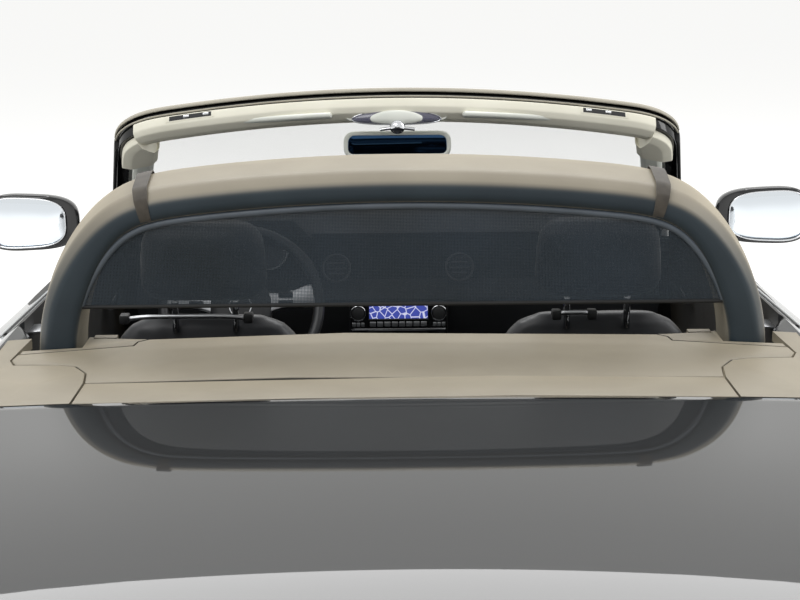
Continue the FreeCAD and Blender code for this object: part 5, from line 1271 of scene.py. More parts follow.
def makeDoors():
    rows = [sideProfile(y, body["doorInner"] + 2, bodyLine(deckEdge, y))[:-1]
            for y in spread(body["doorRear"], body["doorFront"], 90)]
    for sideName, side in leftRight:
        paintPanel(panelSkin("door_skin_" + sideName, [rows], side, 11), on="door_" + sideName)
        inside = softenedCopy("door_" + sideName, "door_inside_" + sideName, 0)
        for corner in inside.data.vertices:
            x, y, z = abs(corner.co.x) / mm, corner.co.y / mm, corner.co.z / mm
            rise = bodyLine(shoulder, y)
            limit = sideX(y, min(z, rise)) - 9
            if x > body["doorInner"] + 60:
                if z > rise - 4:
                    corner.co.z -= 0.003
                corner.co.x = side * min(x, limit) * mm
        settle(inside, "dash", "paint", "door_" + sideName, angle=30, on="door_" + sideName)
        strip = [beltPoint(side, y, -2, 1.5) for y in spread(body["doorRear"] + 3, 470, 60)]
        settle(tubePiece("belt_strip_" + sideName, strip, 3.2 * mm, 10), "chrome", angle=60, on="door_" + sideName)
        seal = [beltPoint(side, y, 9, 2.5) for y in spread(body["doorRear"] + 3, 470, 60)]
        settle(tubePiece("belt_seal_" + sideName, seal, 6 * mm, 12), "seal", angle=60, on="door_" + sideName)
        # brushed plate and lock pin on the door's top, by its rear end
        plate = boxPiece("sill_plate_" + sideName, (0, 0, 0), (0.048, 0.062, 0.004), 0.0012, 2)
        place = beltPoint(side, -692, 70 if side > 0 else 70 - 48, -8)
        turned = Matrix.Translation(place) @ Matrix.Rotation(side * math.radians(6), 4, "Y")
        plate.data.transform(turned)
        settle(plate, "silverPlastic", angle=40, on="door_" + sideName)
        pin = tubePiece("lock_pin_" + sideName, [beltPoint(side, -585, 62, -20), beltPoint(side, -585, 62, 4)],
                        4.5 * mm, 20)
        settle(roundedEdges(pin, 0.0015, 2), "chrome", angle=40, on="door_" + sideName)
        handle(side, sideName)
        armrest(side, sideName)


handleForm = {"rear": -668, "length": 208, "z": 802, "stand": 24, "half": 15, "thick": 5.5}
cupForm = {"y": -565, "z": 806, "long": 70, "high": 26, "steps": ((1.0, 0.6), (0.93, 1.2), (0.90, -1.5), (0.3, -3))}


def handle(side, sideName):  # pull handle on two feet, over a cup for the fingers
    form, rings = handleForm, []
    for t in spread(0, 1, 28):
        y, z = form["rear"] + form["length"] * t, form["z"] + 8 * t
        stand = form["stand"] * min(1, math.sin(math.pi * t) * 2.4 + 0.02)
        half, centre = form["half"] - 4 * abs(2 * t - 1) ** 3, sideX(y, z) + stand - 4
        rings.append([at(side * (centre + form["thick"] * math.sin(a)), y, z + half * math.cos(a))
                      for a in turns(24)])
    settle(sweptPiece("door_handle_" + sideName, rings), "paint", "paint", on="door_" + sideName, angle=50)
    form, cup = cupForm, []
    for share, sink in form["steps"]:
        rim = [(form["y"] + form["long"] * share * math.cos(a), form["z"] + form["high"] * share * math.sin(a))
               for a in turns(40)]
        cup.append([at(side * (sideX(y, z) + sink), y, z) for y, z in rim])
    settle(sweptPiece("handle_cup_" + sideName, cup), "blackPlastic", on="door_" + sideName, angle=50)


armrestForm = {"rear": -500, "length": 660, "x": 690, "z": 636, "half": 46, "high": 30}


def armrest(side, sideName):  # leather roll over the CAD armrest, and the bright release lever
    form, rings = armrestForm, []
    for t in spread(0, 1, 40):
        fade = min(1, min(t, 1 - t) * 14) ** 0.5
        rings.append([at(side * (form["x"] + form["half"] * fade * eased(math.cos(a), 0.6)),
                         form["rear"] + form["length"] * t, form["z"] + form["high"] * fade * eased(math.sin(a), 0.6))
                      for a in turns(24)])
    settle(sweptPiece("armrest_" + sideName, rings), "leather", "leather", on="door_" + sideName, angle=60)
    lever = [at(side * 694, y, 742 + 6 * math.sin((y - 220) / 60)) for y in spread(215, 330, 12)]
    lever = tubePiece("release_lever_" + sideName, lever, 7 * mm, 16)
    settle(lever, "chrome", on="door_" + sideName, angle=60)


mirrorForm = {"inner": 782, "outer": 1016, "rear": 352, "front": 452, "low": 850, "high": 1000}


def makeDoorMirrors():
    form = mirrorForm
    middleX, middleZ = (form["inner"] + form["outer"]) / 2, (form["low"] + form["high"]) / 2
    halfX, halfZ = (form["outer"] - form["inner"]) / 2, (form["high"] - form["low"]) / 2

    def loop(side, y, inset, shift=0.0):  # a rounded form, taller at its outer end
        corners = [(eased(math.cos(a), 0.62), eased(math.sin(a), 0.62)) for a in turns(72)]
        return [at(side * (middleX + shift + (halfX - inset - shift) * u), y,
                   middleZ + (halfZ - inset) * v * (0.86 + 0.14 * (u + 1) / 2)) for u, v in corners]

    for sideName, side in leftRight:
        rear = form["rear"]
        steps = ((14, 12, 11), (3, 9, 11), (0, 7.5, 9), (2, 2), (10, 0), (30, 1), (52, 7), (72, 19), (86, 34),
                 (95, 52), (form["front"] - rear - 2, 66))
        shell = [loop(side, rear + y, *inset) for y, *inset in steps]
        settle(sweptPiece("mirror_shell_" + sideName, shell), "paint", "mirror_housing",
               "door_mirror_" + sideName, angle=60, on="door_" + sideName)
        rim = tubePiece("mirror_rim_" + sideName, loop(side, rear + 1.0, 9.5, 11), 2.0 * mm, 8, closed=True)
        settle(rim, "chrome", "mirror_housing", angle=60, on="door_" + sideName)
        pane = [loop(side, rear + y, inset, 11) for y, inset in ((10, 10.5), (8.5, 10.5), (6.5, 30), (5.8, 60))]
        glass = sweptPiece("mirror_pane_" + sideName, pane)
        settle(glass, "mirror", "mirror_glass", "mirror_glass_" + sideName, angle=60, on="door_" + sideName)
        foot = []
        for t in spread(0, 1, 12):
            x, z = 752 + 62 * t, 868 + 22 * t
            foot.append([at(side * x, 402 + 30 * math.cos(a) * (1.15 - 0.3 * t), z + (10 + 3 * t) * math.sin(a))
                         for a in turns(32)])
        settle(sweptPiece("mirror_foot_" + sideName, foot), "glossPlastic",
               "mirror_housing", angle=60, on="door_" + sideName)


makeDoors()
makeDoorMirrors()
print("doors and their mirrors made")


# Wheels: the rim turns with the tyre; the disc rides on the rim, a front caliper on its knuckle, a rear one on the
# body shell

wheelForm = {
    "radius": 330, "seat": 226, "disc": 165, "hubInset": 40, "spokes": 5, "bolts": 5, "boltCircle": 56,
    "spokeSection": ((-1, -0.2), (-0.86, 0.0), (0.86, 0.0), (1, -0.2), (0.8, -1), (-0.8, -1)),
    "places": {"front_left": (-780, 1405, 255), "front_right": (780, 1405, 255),
               "rear_left": (-765, -1155, 285), "rear_right": (765, -1155, 285)},
}


def turned(name, profile, place, side, sides=96):  # a closed profile of (out, radius) turned about the axle
    x0, y0 = place
    return sweptPiece(name, [[at(x0 + side * u, y0 + r * math.cos(a), body["axleHeight"] + r * math.sin(a))
                              for u, r in profile] for a in turns(sides)], closed=True)


def makeRims():
    form = wheelForm
    for placeName, (x, y, width) in form["places"].items():
        side = 1 if x > 0 else -1
        half, seat = width / 2 - 14, form["seat"]
        bodyName = "wheel_" + placeName
        face = half - 30
        barrel = [(-half, seat + 11), (-half + 7, seat + 11), (-half + 14, seat - 2), (-20, seat - 10),
                  (half - 40, seat - 4), (half - 14, seat - 2), (half - 7, seat + 10), (half, seat + 11.5),
                  (half, seat + 7), (half - 6, seat - 3), (half - 22, seat - 12), (half - 60, seat - 14),
                  (-10, seat - 20), (-half + 12, seat - 11)]
        rim = turned("rim_barrel_" + placeName, barrel, (x, y), side)
        settle(rim, "alloy", "rim", "rim_" + placeName, angle=40, on=bodyName)
        hub = [(face - 52, 0.5), (face - 52, 70), (face - 8, 70), (face + 2, 62), (face + 4, 40), (face + 9, 34),
               (face + 10, 30), (face + 10, 0.5)]
        settle(turned("rim_hub_" + placeName, hub, (x, y), side, 64), "alloy", "rim", angle=35, on=bodyName)
        cap = [(face + 10, 0.5), (face + 10, 29), (face + 11.5, 28), (face + 12.5, 22), (face + 13, 0.5)]
        settle(turned("rim_cap_" + placeName, cap, (x, y), side, 48), "blackPlastic", "rim", angle=35, on=bodyName)
        spokes = []
        for pair in range(form["spokes"]):
            for lean in (-1, 1):
                turn = math.tau * (pair + 0.25) / form["spokes"]
                rows = []
                for t in spread(0, 1, 18):
                    radius = 46 + (seat - 8 - 46) * t
                    angle = turn + lean * (0.235 - 0.075 * t + 0.03 * t * t)
                    rise = face + 1 - 20 * math.sin(math.pi * t * 0.62) ** 2 + 10 * t * t
                    wide = 15 + 5 * (1 - t) ** 2 + 5 * t ** 4
                    deep = 34 - 10 * t
                    c, s = math.cos(angle), math.sin(angle)
                    rows.append([at(x + side * (rise + v * deep), y + radius * c - u * wide * s,
                                    body["axleHeight"] + radius * s + u * wide * c) for u, v in form["spokeSection"]])
                spokes.append(sweptPiece("spoke", rows))
        joined = joinedPieces("rim_spokes_" + placeName, spokes)
        roundedEdges(joined, 0.0022, 2, 25)
        settle(joined, "alloy", "rim", angle=35, on=bodyName)
        bolts = []
        for k in range(form["bolts"]):
            a = math.tau * (k + 0.5) / form["bolts"]
            cy, cz = y + form["boltCircle"] * math.cos(a), body["axleHeight"] + form["boltCircle"] * math.sin(a)
            for radius, out0, out1, sides in ((13, face - 6, face + 3.4, 24), (8.5, face + 1, face + 9, 6)):
                bolt = [[at(x + side * out, cy + radius * math.cos(b), cz + radius * math.sin(b))
                         for b in turns(sides)] for out in (out0, out1)]
                bolts.append(sweptPiece("bolt", bolt))
        settle(roundedEdges(joinedPieces("wheel_bolts_" + placeName, bolts), 0.0008, 1), "steel",
               "rim", angle=35, on=bodyName)
        inset = -form["hubInset"]
        disc = [(inset + 0.3, 70), (inset + 0.3, form["disc"]), (inset + 10, form["disc"]), (inset + 10.5, 150),
                (inset + 17.5, 150), (inset + 18, form["disc"]), (inset + 27.7, form["disc"]), (inset + 27.7, 84),
                (inset + 52, 78), (inset + 52, 60), (inset + 22, 60)]
        settle(turned("brake_disc_" + placeName, disc, (x, y), side, 96), "disc", "rim", angle=30, on=bodyName)


def treeInputs(group, sockets):  # the tree's sockets, with Geometry first, and its inputs
    for label, kind in (("Geometry", "Geometry"), *sockets):
        group.interface.new_socket(name=label, in_out="INPUT", socket_type="NodeSocket" + kind)
    group.interface.new_socket(name="Geometry", in_out="OUTPUT", socket_type="NodeSocketGeometry")
    return group.nodes.new("NodeGroupInput").outputs


def treeOutput(group, shapes, look):
    real = addNode(group, "GeometryNodeRealizeInstances", {}, {"Geometry": shapes})
    painted = addNode(group, "GeometryNodeSetMaterial", {}, {"Geometry": real.outputs["Geometry"], "Material": look})
    addNode(group, "NodeGroupOutput", {}, {"Geometry": painted.outputs["Geometry"]})


def treadTree(group):  # a sector of tread blocks turned round the axle: counted instances, realized
    inputs = treeInputs(group, (("Sector", "Object"), ("Count", "Int"), ("Centre", "Vector"), ("Rubber", "Material")))
    sector = addNode(group, "GeometryNodeObjectInfo", {}, {"Object": inputs["Sector"]})
    line = addNode(group, "GeometryNodeMeshLine", {"Offset": (0, 0, 0)}, {"Count": inputs["Count"]})
    number = addNode(group, "GeometryNodeInputIndex")
    share = addNode(group, "ShaderNodeMath", {"operation": "DIVIDE"}, {0: number.outputs[0], 1: inputs["Count"]})
    angle = addNode(group, "ShaderNodeMath", {"operation": "MULTIPLY", 1: math.tau}, {0: share.outputs[0]})
    turn = addNode(group, "ShaderNodeCombineXYZ", {}, {"X": angle.outputs[0]})
    copies = addNode(group, "GeometryNodeInstanceOnPoints", {}, {
        "Points": line.outputs["Mesh"], "Instance": sector.outputs["Geometry"], "Rotation": turn.outputs["Vector"]})
    moved = addNode(group, "GeometryNodeTranslateInstances", {"Local Space": False}, {
        "Instances": copies.outputs["Instances"], "Translation": inputs["Centre"]})
    treeOutput(group, moved.outputs["Instances"], inputs["Rubber"])


def grown(name, build, values):  # a mesh made by a Geometry Nodes tree with the given inputs
    group = bpy.data.node_groups.new(name + "_tree", "GeometryNodeTree")
    build(group)
    holder = meshPiece(name, [(0, 0, 0)], [])
    change = holder.modifiers.new("grown", "NODES")
    change.node_group = group
    for item in group.interface.items_tree:
        if item.in_out == "INPUT" and item.name in values:
            change[item.identifier] = values[item.name]
    holder.update_tag()
    return applied(holder)


treadForm = {"pitches": 64, "blockHeight": 7.5, "groove": 9, "sipe": 4}


def makeTyres():
    form = wheelForm
    for placeName, (x, y, width) in form["places"].items():
        side = 1 if x > 0 else -1
        half, radius, seat = width / 2, form["radius"], form["seat"]
        base = radius - treadForm["blockHeight"]
        outer = [(half - 30, seat + 1.5), (half - 13, seat + 4), (half - 9, seat + 12), (half - 3, seat + 30),
                 (half, radius - 55), (half - 3, radius - 32), (half - 10, radius - 16), (half - 20, base - 1),
                 (half - 32, base)]
        profile = outer + [(-u, r) for u, r in reversed(outer)]
        tyre = turned("tyre_body_" + placeName, profile, (x, y), side, 128)
        bodyName = "wheel_" + placeName
        settle(tyre, "tyre", "tyre", "tyre_" + placeName, angle=50, on=bodyName)
        ribs = 5
        span = 2 * half - 34
        rib = (span - treadForm["groove"] * (ribs - 1)) / ribs
        pitch = math.tau / treadForm["pitches"]
        blocks = []
        for k in range(ribs):
            u0 = -span / 2 + k * (rib + treadForm["groove"])
            u1 = u0 + rib
            shift = (k % 2) * 0.5 * pitch
            cut = treadForm["sipe"] / radius
            a0, a1 = shift + cut / 2, shift + pitch - cut / 2
            if k == ribs // 2:
                a0, a1 = shift - 0.0008, shift + pitch + 0.0008
            lean = 0.35 * pitch * (1 if k % 2 else -1) if k != ribs // 2 else 0
            points = []
            for r, draw in ((base - 3, 0), (radius - 0.4, 1.2)):
                for u, a in ((u0, a0), (u1, a0 + lean), (u1, a1 + lean), (u0, a1)):
                    atShoulder = draw and ((k == 0 and u == u0) or (k == ribs - 1 and u == u1))
                    inward, drop = draw if u == u0 else -draw, 5 if atShoulder else 0
                    points.append(at(side * (u + inward), (r - drop) * math.cos(a), (r - drop) * math.sin(a)))
            faces = [(0, 3, 2, 1), (4, 5, 6, 7), (0, 1, 5, 4), (1, 2, 6, 5), (2, 3, 7, 6), (3, 0, 4, 7)]
            blocks.append(outwardNormals(meshPiece("block", points, faces)))
        sector = joinedPieces("tread_sector_" + placeName, blocks)
        tread = grown("tread_" + placeName, treadTree,
                      {"Sector": sector, "Count": treadForm["pitches"], "Rubber": finish["tyre"],
                       "Centre": (x * mm, y * mm, body["axleHeight"] * mm)})
        bpy.data.objects.remove(sector)
        settle(tread, "tyre", "tyre", angle=30, on=bodyName)


caliperSection = (  # (out, radius) about the axle, open over the disc
    (-36, 176), (-36, 104), (-22, 100), (-20, 168), (20, 168), (22, 100), (38, 104), (38, 172), (26, 184), (-26, 184))


def makeCalipers():
    inset = 14 - wheelForm["hubInset"]
    for placeName, place in wheelForm["places"].items():
        x, y = place[:2]
        side, front, rings = 1 if x > 0 else -1, y > 0, []
        middle = math.pi if front else 0
        for t in spread(-0.5, 0.5, 22):
            a = middle + t * 0.86
            fade = 1 - 0.25 * abs(2 * t) ** 4
            rings.append([at(x + side * (inset + u * fade), y + r * math.cos(a), body["axleHeight"] + r * math.sin(a))
                          for u, r in caliperSection])
        bodyName = "knuckle_" + placeName.split("_")[1] if front else "body_shell"
        settle(roundedEdges(sweptPiece("caliper_" + placeName, rings), 0.003, 2), "silverPlastic",
               "chassis", angle=40, on=bodyName)


makeRims()
makeTyres()
makeCalipers()
print("wheels made")


# Seats: padded leather swelled by a short cloth simulation, with seams sewn on afterwards

seatForm = {"x": 377, "voxel": 0.008, "pressure": 4.0, "frames": 20, "cap": 0.009}


def rolled(isUpright, start, length, count, section, sides=48, power=0.5):
    # a closed form: at each share of its length, section gives its outline's middle, half width and depth
    rings = []
    for t in spread(0, 1, count):
        place, (x, v0, half, depth) = start + length * t, section(t)
        outline = [(x + half * eased(math.cos(a), power), v0 + depth * eased(math.sin(a), power))
                   for a in turns(sides)]
        rings.append([at(u, v, place) if isUpright else at(u, place, v) for u, v in outline])
    return sweptPiece("form", rings)


def backForms(x):
    def middle(t):
        fade = endFade(t, 0.16)
        return x, -462 - 118 * t ** 1.1, (228 - 52 * t ** 2.2) * (0.55 + 0.45 * fade), (56 - 12 * t) * fade

    def bolster(t):
        fade = endFade(t, 0.25)
        return x + side * (198 - 22 * t), -436 - 105 * t ** 1.1 + 8 * math.sin(math.pi * t), 34 * fade, 52 * fade

    forms = [rolled(True, 392, 926 - 392, 26, middle)]
    for side in (-1, 1):
        forms.append(rolled(True, 410, 845 - 410, 22, bolster, 32, 0.8))
    return joinedPieces("seat_back", forms)


def cushionForms(x):
    def middle(t):
        fade = endFade(t, 0.16)
        return x, 398 - 16 * t, 218 * (0.7 + 0.3 * fade), 66 * fade

    def bolster(t):
        fade = endFade(t, 0.2)
        return x + side * 196, 420 + 6 * math.sin(math.pi * t), 34 * fade, 66 * fade

    forms = [rolled(False, -480, 492, 24, middle)]
    for side in (-1, 1):
        forms.append(rolled(False, -470, 445, 20, bolster, 32, 0.8))
    return joinedPieces("seat_cushion", forms)


def restraintForm(x):
    def middle(t):
        fade = endFade(t, 0.3)
        return x, -612 - 8 * t, (124 - 10 * t) * (0.6 + 0.4 * fade), 42 * fade

    return rolled(True, 953, 1112 - 953, 20, middle, 48, 0.62)


def puffed(piece):  # voxel remesh, swell by cloth, hold each point within the cap, one subdivision
    remesh = piece.modifiers.new("skin", "REMESH")
    remesh.mode, remesh.voxel_size = "VOXEL", seatForm["voxel"]
    applied(piece)
    cloth = piece.modifiers.new("swell", "CLOTH")
    cloth.settings.use_pressure = True
    cloth.settings.uniform_pressure_force = seatForm["pressure"]
    cloth.settings.effector_weights.gravity = 0
    cloth.settings.quality = 4
    cloth.point_cache.frame_start, cloth.point_cache.frame_end = 1, seatForm["frames"]
    for number in range(1, seatForm["frames"] + 1):
        bpy.context.scene.frame_set(number)
    before = [v.co.copy() for v in piece.data.vertices]
    applied(piece)
    for start, vertex in zip(before, piece.data.vertices):
        move = vertex.co - start
        if move.length > seatForm["cap"]:
            vertex.co = start + move.normalized() * seatForm["cap"]
    bpy.context.scene.frame_set(1)
    smooth = piece.modifiers.new("relax", "SMOOTH")
    smooth.factor, smooth.iterations = 0.5, 3
    finer = piece.modifiers.new("finer", "SUBSURF")
    finer.levels = finer.render_levels = 1
    return applied(piece)


def onSurface(piece, points, direction, sink):  # the points dropped onto the piece along a direction
    made = []
    toward = Vector(direction)
    for p in points:
        hit, place, normal = piece.ray_cast(Vector(p) * mm - toward * 0.4, toward)[:3]
        if hit:
            made.append(place - normal * sink)
    return made


def seatSeams(x):  # each seam's places over the form it is on, and the direction in which they drop onto it
    arc = [(x + 185 * math.cos(a), 0, 700 + 195 * math.sin(a))
           for a in spread(math.radians(8), math.radians(172), 60)]
    inner = [(x + 130 * math.cos(a), 0, 560 + 300 * math.sin(a))
             for a in spread(math.radians(4), math.radians(176), 60)]
    forward, rearward, down = (0, 1, 0), (0, -1, 0), (0, 0, -1)
    seams = [("back", forward, arc), ("back", rearward, inner)]
    seams += [("back", rearward, [(x + side * 150, 0, z) for z in spread(470, 830, 40)]) for side in (1, -1)]
    seams += [("cushion", down, [(x + side * 156, y, 0) for y in spread(-440, -20, 40)]) for side in (1, -1)]
    seams += [("cushion", down, [(u, y, 0) for u in spread(x - 150, x + 150, 30)]) for y in (-150, -290)]
    return seams + [("restraint", forward, [(u, 0, 1040) for u in spread(x - 105, x + 105, 30)])]


def seatBase(x):  # moulded pan and sides under the cushion, and the runners
    def block(name, middle, half, y0, z0, y1, z1, bevel, segments=2):
        return boxPiece(name, ((middle - half) * mm, y0, z0), ((middle + half) * mm, y1, z1), bevel, segments)

    shell = []
    for side in (-1, 1):
        shell.append(block("runner", x + side * 180, 22, -0.46, 0.171, -0.02, 0.21, 0.004))
        shell.append(block("side", x + side * 214, 10, -0.50, 0.21, -0.05, 0.37, 0.008))
    shell.append(block("pan", x, 205, -0.47, 0.262, -0.02, 0.336, 0.012, 3))
    return joinedPieces("seat_base", shell)


def makeSeats():
    x = seatForm["x"]
    forms = {"back": puffed(backForms(x)), "cushion": puffed(cushionForms(x)), "restraint": puffed(restraintForm(x))}
    seams = []
    for on, direction, path in seatSeams(x):
        points = onSurface(forms[on], path, direction, -0.0002)
        if len(points) > 3:
            seams.append(tubePiece("seam", points, 1.4 * mm, 6))
    sewn = joinedPieces("seat_seams", seams)
    posts = joinedPieces("seat_stalks", [
        tubePiece("stalk", [at(x + side * 58, -607, z) for z in (890, 940, 985)], 6.5 * mm, 16) for side in (-1, 1)])
    sources = {**forms, "seams": sewn, "stalks": posts, "base": seatBase(x)}
    looks = {"seams": "stitch", "stalks": "chrome", "base": "blackPlastic"}
    for sideName, side in leftRight:
        for key, source in sources.items():
            piece = source if side > 0 else mirrored(newPiece("mirrored", source.data.copy()))
            piece.name = f"seat_{key}_{sideName}"
            replaced = [f"seat_{sideName}"] if key == "back" else []
            settle(piece, looks.get(key, "leather"), "leather", *replaced, angle=180)
    bars = (("left", -410, 118), ("right", 330, 34))  # silver bars at the backrests' tops, seen over the roof cover
    for sideName, x0, half in bars:
        run = [at(x0 + half * u, -648 + 10 * abs(u) ** 3, 931 - 8 * abs(u) ** 4) for u in spread(-1, 1, 24)]
        settle(tubePiece("backrest_bar_" + sideName, run, 4.5 * mm, 14), "silverPlastic", "leather", angle=60)
        ends = joinedPieces("backrest_bar_ends_" + sideName,
                            [boxPiece("end", ((x0 + s * half - 9) * mm, -0.650, 0.916),
                                      ((x0 + s * half + 9) * mm, -0.624, 0.934), 0.003, 2) for s in (-1, 1)])
        settle(ends, "blackPlastic", "leather", angle=40)


makeSeats()
print("seats made")


# Dashboard, display unit, instruments, steering wheel and console

def circleAbout(centre, radius, facing, sides, out=0):  # points in metres about a centre in mm
    axis = Vector(facing).normalized()
    u = axis.orthogonal().normalized()
    v = axis.cross(u)
    return [(Vector(centre) + axis * out + (u * math.cos(a) + v * math.sin(a)) * radius) * mm for a in turns(sides)]


def roundDial(name, centre, radius, depth, facing=(0, -1, 0)):
    steps = ((radius, -depth), (radius, 0), (radius * 0.94, 0.8), (radius * 0.9, 0.8), (radius * 0.02, 0.8))
    return sweptPiece(name, [circleAbout(centre, r, facing, 48, out) for r, out in steps])


def roundRing(name, centre, radius, tube, facing=(0, -1, 0)):
    return tubePiece(name, circleAbout(centre, radius, facing, 56), tube * mm, 10, closed=True)


displayForm = {"y": 384.5, "half": 122, "low": 622, "high": 712}


def makeDashboard():
    pad = softenedCopy("dashboard", "dashboard_pad", 0.006, 3, 40)
    settle(pad, "dash", "dashboard", "dashboard", angle=40)
    y = displayForm["y"] * mm
    unit = boxPiece("display_unit", (-0.121, y - 0.003, 0.6225), (0.121, y + 0.030, 0.7115), 0.005, 4)
    settle(unit, "glossPlastic", "dashboard", angle=40)
    screen = meshPiece("display_face", [Vector((x, y - 0.0036, z)) for x in (-0.073, 0.073) for z in (0.668, 0.7065)],
                       [(0, 2, 3, 1)])
    layer = screen.data.uv_layers.new(name="UVMap")
    for loop in screen.data.loops:
        corner = screen.data.vertices[loop.vertex_index].co
        layer.data[loop.index].uv = ((corner.x + 0.073) / 0.146, (corner.z - 0.668) / 0.0385)
    settle(screen, "display", "dashboard", angle=40)
    bezel = tubePiece("display_bezel", [Vector(p) for p in ((-0.075, y - 0.0035, 0.666), (0.075, y - 0.0035, 0.666),
                      (0.075, y - 0.0035, 0.7085), (-0.075, y - 0.0035, 0.7085))], 0.0016, 8, closed=True)
    settle(bezel, "blackPlastic", "dashboard", angle=40)
    knobs, rings, switches = [], [], []
    for x in (-101, 101):
        knobs.append(tubePiece("knob", [at(x, displayForm["y"] + v, 682) for v in (2, -12)], 15 * mm, 40))
        rings.append(roundRing("ring", (x, displayForm["y"] - 3.5, 682), 18, 2.2))
        for left in (x - 15, x - 4, x + 7):
            switches.append(boxPiece("switch", (left * mm, y - 0.006, 0.648), ((left + 9) * mm, y, 0.658), 0.0012, 2))
    for k in range(8):
        switches.append(boxPiece("switch", ((-72 + k * 18.2) * mm, y - 0.0065, 0.648),
                                 ((-56.5 + k * 18.2) * mm, y, 0.6605), 0.0014, 2))
    settle(roundedEdges(joinedPieces("display_knobs", knobs), 0.0015, 2), "blackPlastic", "dashboard", angle=40)
    settle(joinedPieces("display_knob_rings", rings), "chrome", "dashboard", angle=60)
    settle(joinedPieces("display_switches", switches), "silverPlastic", "dashboard", angle=40)
    strip = boxPiece("display_strip", (-0.118, y - 0.005, 0.6365), (0.118, y, 0.6425), 0.0015, 2)
    settle(strip, "chrome", "dashboard", angle=40)
    # panel of the climate switches under the display, down to the console
    lower = boxPiece("switch_panel", (-0.112, 0.392, 0.560), (0.112, 0.44, 0.618), 0.006, 3)
    settle(lower, "silverPlastic", "dashboard", angle=40)
    dials, chromes = [], []
    for x in (-600, -154, 154, 600):
        centre = (x, 424, 790)
        dials.append(roundDial("vent", centre, 33, 20, (0, -1, 0.25)))
        chromes.append(roundRing("vent ring", (x, 421, 790), 34, 2.6, (0, -1, 0.25)))
        for k in (-1, 0, 1):
            chromes.append(tubePiece("blade", [at(x - 26 + abs(k) * 6, 417, 790 + 14 * k),
                                               at(x + 26 - abs(k) * 6, 417, 790 + 14 * k)], 1.8 * mm, 8))
    settle(joinedPieces("air_vents", dials), "blackPlastic", "dashboard", angle=40)
    settle(joinedPieces("air_vent_rings", chromes), "castGrey", "dashboard", angle=60)
    gauges, marks = [], []
    for x in (-432, -322):
        gauges.append(roundDial("gauge", (x, 417, 838), 46, 20, (0, -1, 0.3)))
        marks.append(roundRing("gauge ring", (x, 415, 838), 47, 2.4, (0, -1, 0.3)))
        for k in range(25):
            a = math.radians(225 - 270 * k / 24)
            inner = 34 if k % 4 == 0 else 38
            run = [at(x + r * math.cos(a), 414.5 + 0.3 * r * math.sin(a), 838 + r * math.sin(a)) for r in (inner, 41)]
            marks.append(tubePiece("mark", run, 0.7 * mm, 5))
    settle(joinedPieces("gauges", gauges), "gaugeFace", "dashboard", angle=40)
    settle(joinedPieces("gauge_rings", marks), "silverPlastic", "dashboard", angle=60)


wheelAxis = Vector((0, -math.cos(math.radians(24)), math.sin(math.radians(24))))
wheelUp = Vector((0, math.sin(math.radians(24)), math.cos(math.radians(24))))
steeringForm = {"centre": Vector((-377, 205, 745)), "radius": 186, "tube": 14.2}


def steeringPoint(across, up, out):
    return (steeringForm["centre"] + Vector((1, 0, 0)) * across + wheelUp * up + wheelAxis * out) * mm


def makeSteeringWheel():
    radius, tube = steeringForm["radius"], steeringForm["tube"]
    rings = []
    for a in turns(96):
        grip = 1 + sum(0.12 * math.exp(-((math.degrees(a) - thumb) / 10) ** 2) for thumb in (35, 145))
        ring = [(radius + tube * 0.93 * grip * math.cos(b), tube * grip * 0.95 * math.sin(b)) for b in turns(20)]
        rings.append([steeringPoint(r * math.cos(a), r * math.sin(a), out) for r, out in ring])
    settle(sweptPiece("steering_rim", rings, closed=True), "leather", "leather", "steering_wheel", angle=60,
           on="steering_wheel")
    hub = []
    for share, out in ((0.86, -30), (1.0, -14), (1.0, 8), (0.93, 18), (0.7, 24), (0.3, 27), (0.02, 28)):
        hub.append([steeringPoint(74 * share * eased(math.cos(a), 0.75), 62 * share * eased(math.sin(a), 0.75) - 4,
                                  out) for a in turns(64)])
    settle(sweptPiece("steering_hub", hub), "dash", "leather", angle=60, on="steering_wheel")
    spokes, keys = [], []
    for a0 in (8, 172, 270):
        a = math.radians(a0)
        out = Vector((math.cos(a), math.sin(a)))
        along2 = Vector((-math.sin(a), math.cos(a)))
        rings = []
        for t in spread(0, 1, 14):
            r = 55 + (radius - 6 - 55) * t
            wide = (30 - 10 * math.sin(math.pi * min(t * 1.2, 1))) * (0.72 if a0 == 270 else 1)
            rings.append([steeringPoint(out.x * r + along2.x * wide * u,
                                        out.y * r + along2.y * wide * u - 2 * (1 - t), v * 9 + 4 - 3 * t) for u,
                          v in ((-1, -0.6), (-0.9, 0.8), (0.9, 0.8), (1, -0.6), (0.8, -1), (-0.8, -1))])
        spokes.append(sweptPiece("spoke", rings))
        if a0 != 270:
            for k in (-1, 1):
                c = steeringPoint(out.x * 108, out.y * 108 + 10 * k, 12)
                keys.append(boxPiece("key", c - Vector((0.017, 0.004, 0.007)), c + Vector((0.017, 0.004, 0.007)),
                                     0.003, 2))
    settle(roundedEdges(joinedPieces("steering_spokes", spokes), 0.003, 2, 25), "silverPlastic", "leather",
           angle=40, on="steering_wheel")
    settle(joinedPieces("steering_keys", keys), "blackPlastic", "leather", angle=40, on="steering_wheel")
    ring = [steeringPoint(26 * math.cos(a), 26 * math.sin(a) - 4, 27.2) for a in turns(40)]
    settle(tubePiece("steering_hub_ring", ring, 1.5 * mm, 8, closed=True), "silverPlastic", "leather", angle=60,
           on="steering_wheel")


def makeConsole():
    box = softenedCopy("centre_console", "console_shell", 0.006, 3, 40)
    settle(box, "dash", "dashboard", "centre_console", angle=40)
    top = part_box("centre_console")[1][2] / mm
    # radius, height over the console and lean of the selector
    steps = ((7, -20, 0), (7, 30, -6), (17, 40, -8), (22, 60, -10), (20, 78, -10), (10, 84, -10))
    lever = sweptPiece("selector_knob", [[at(r * math.cos(a), 180 + lean + r * 1.15 * math.sin(a), top + z)
                                          for a in turns(32)] for r, z, lean in steps])
    settle(lever, "leather", "leather", angle=60)


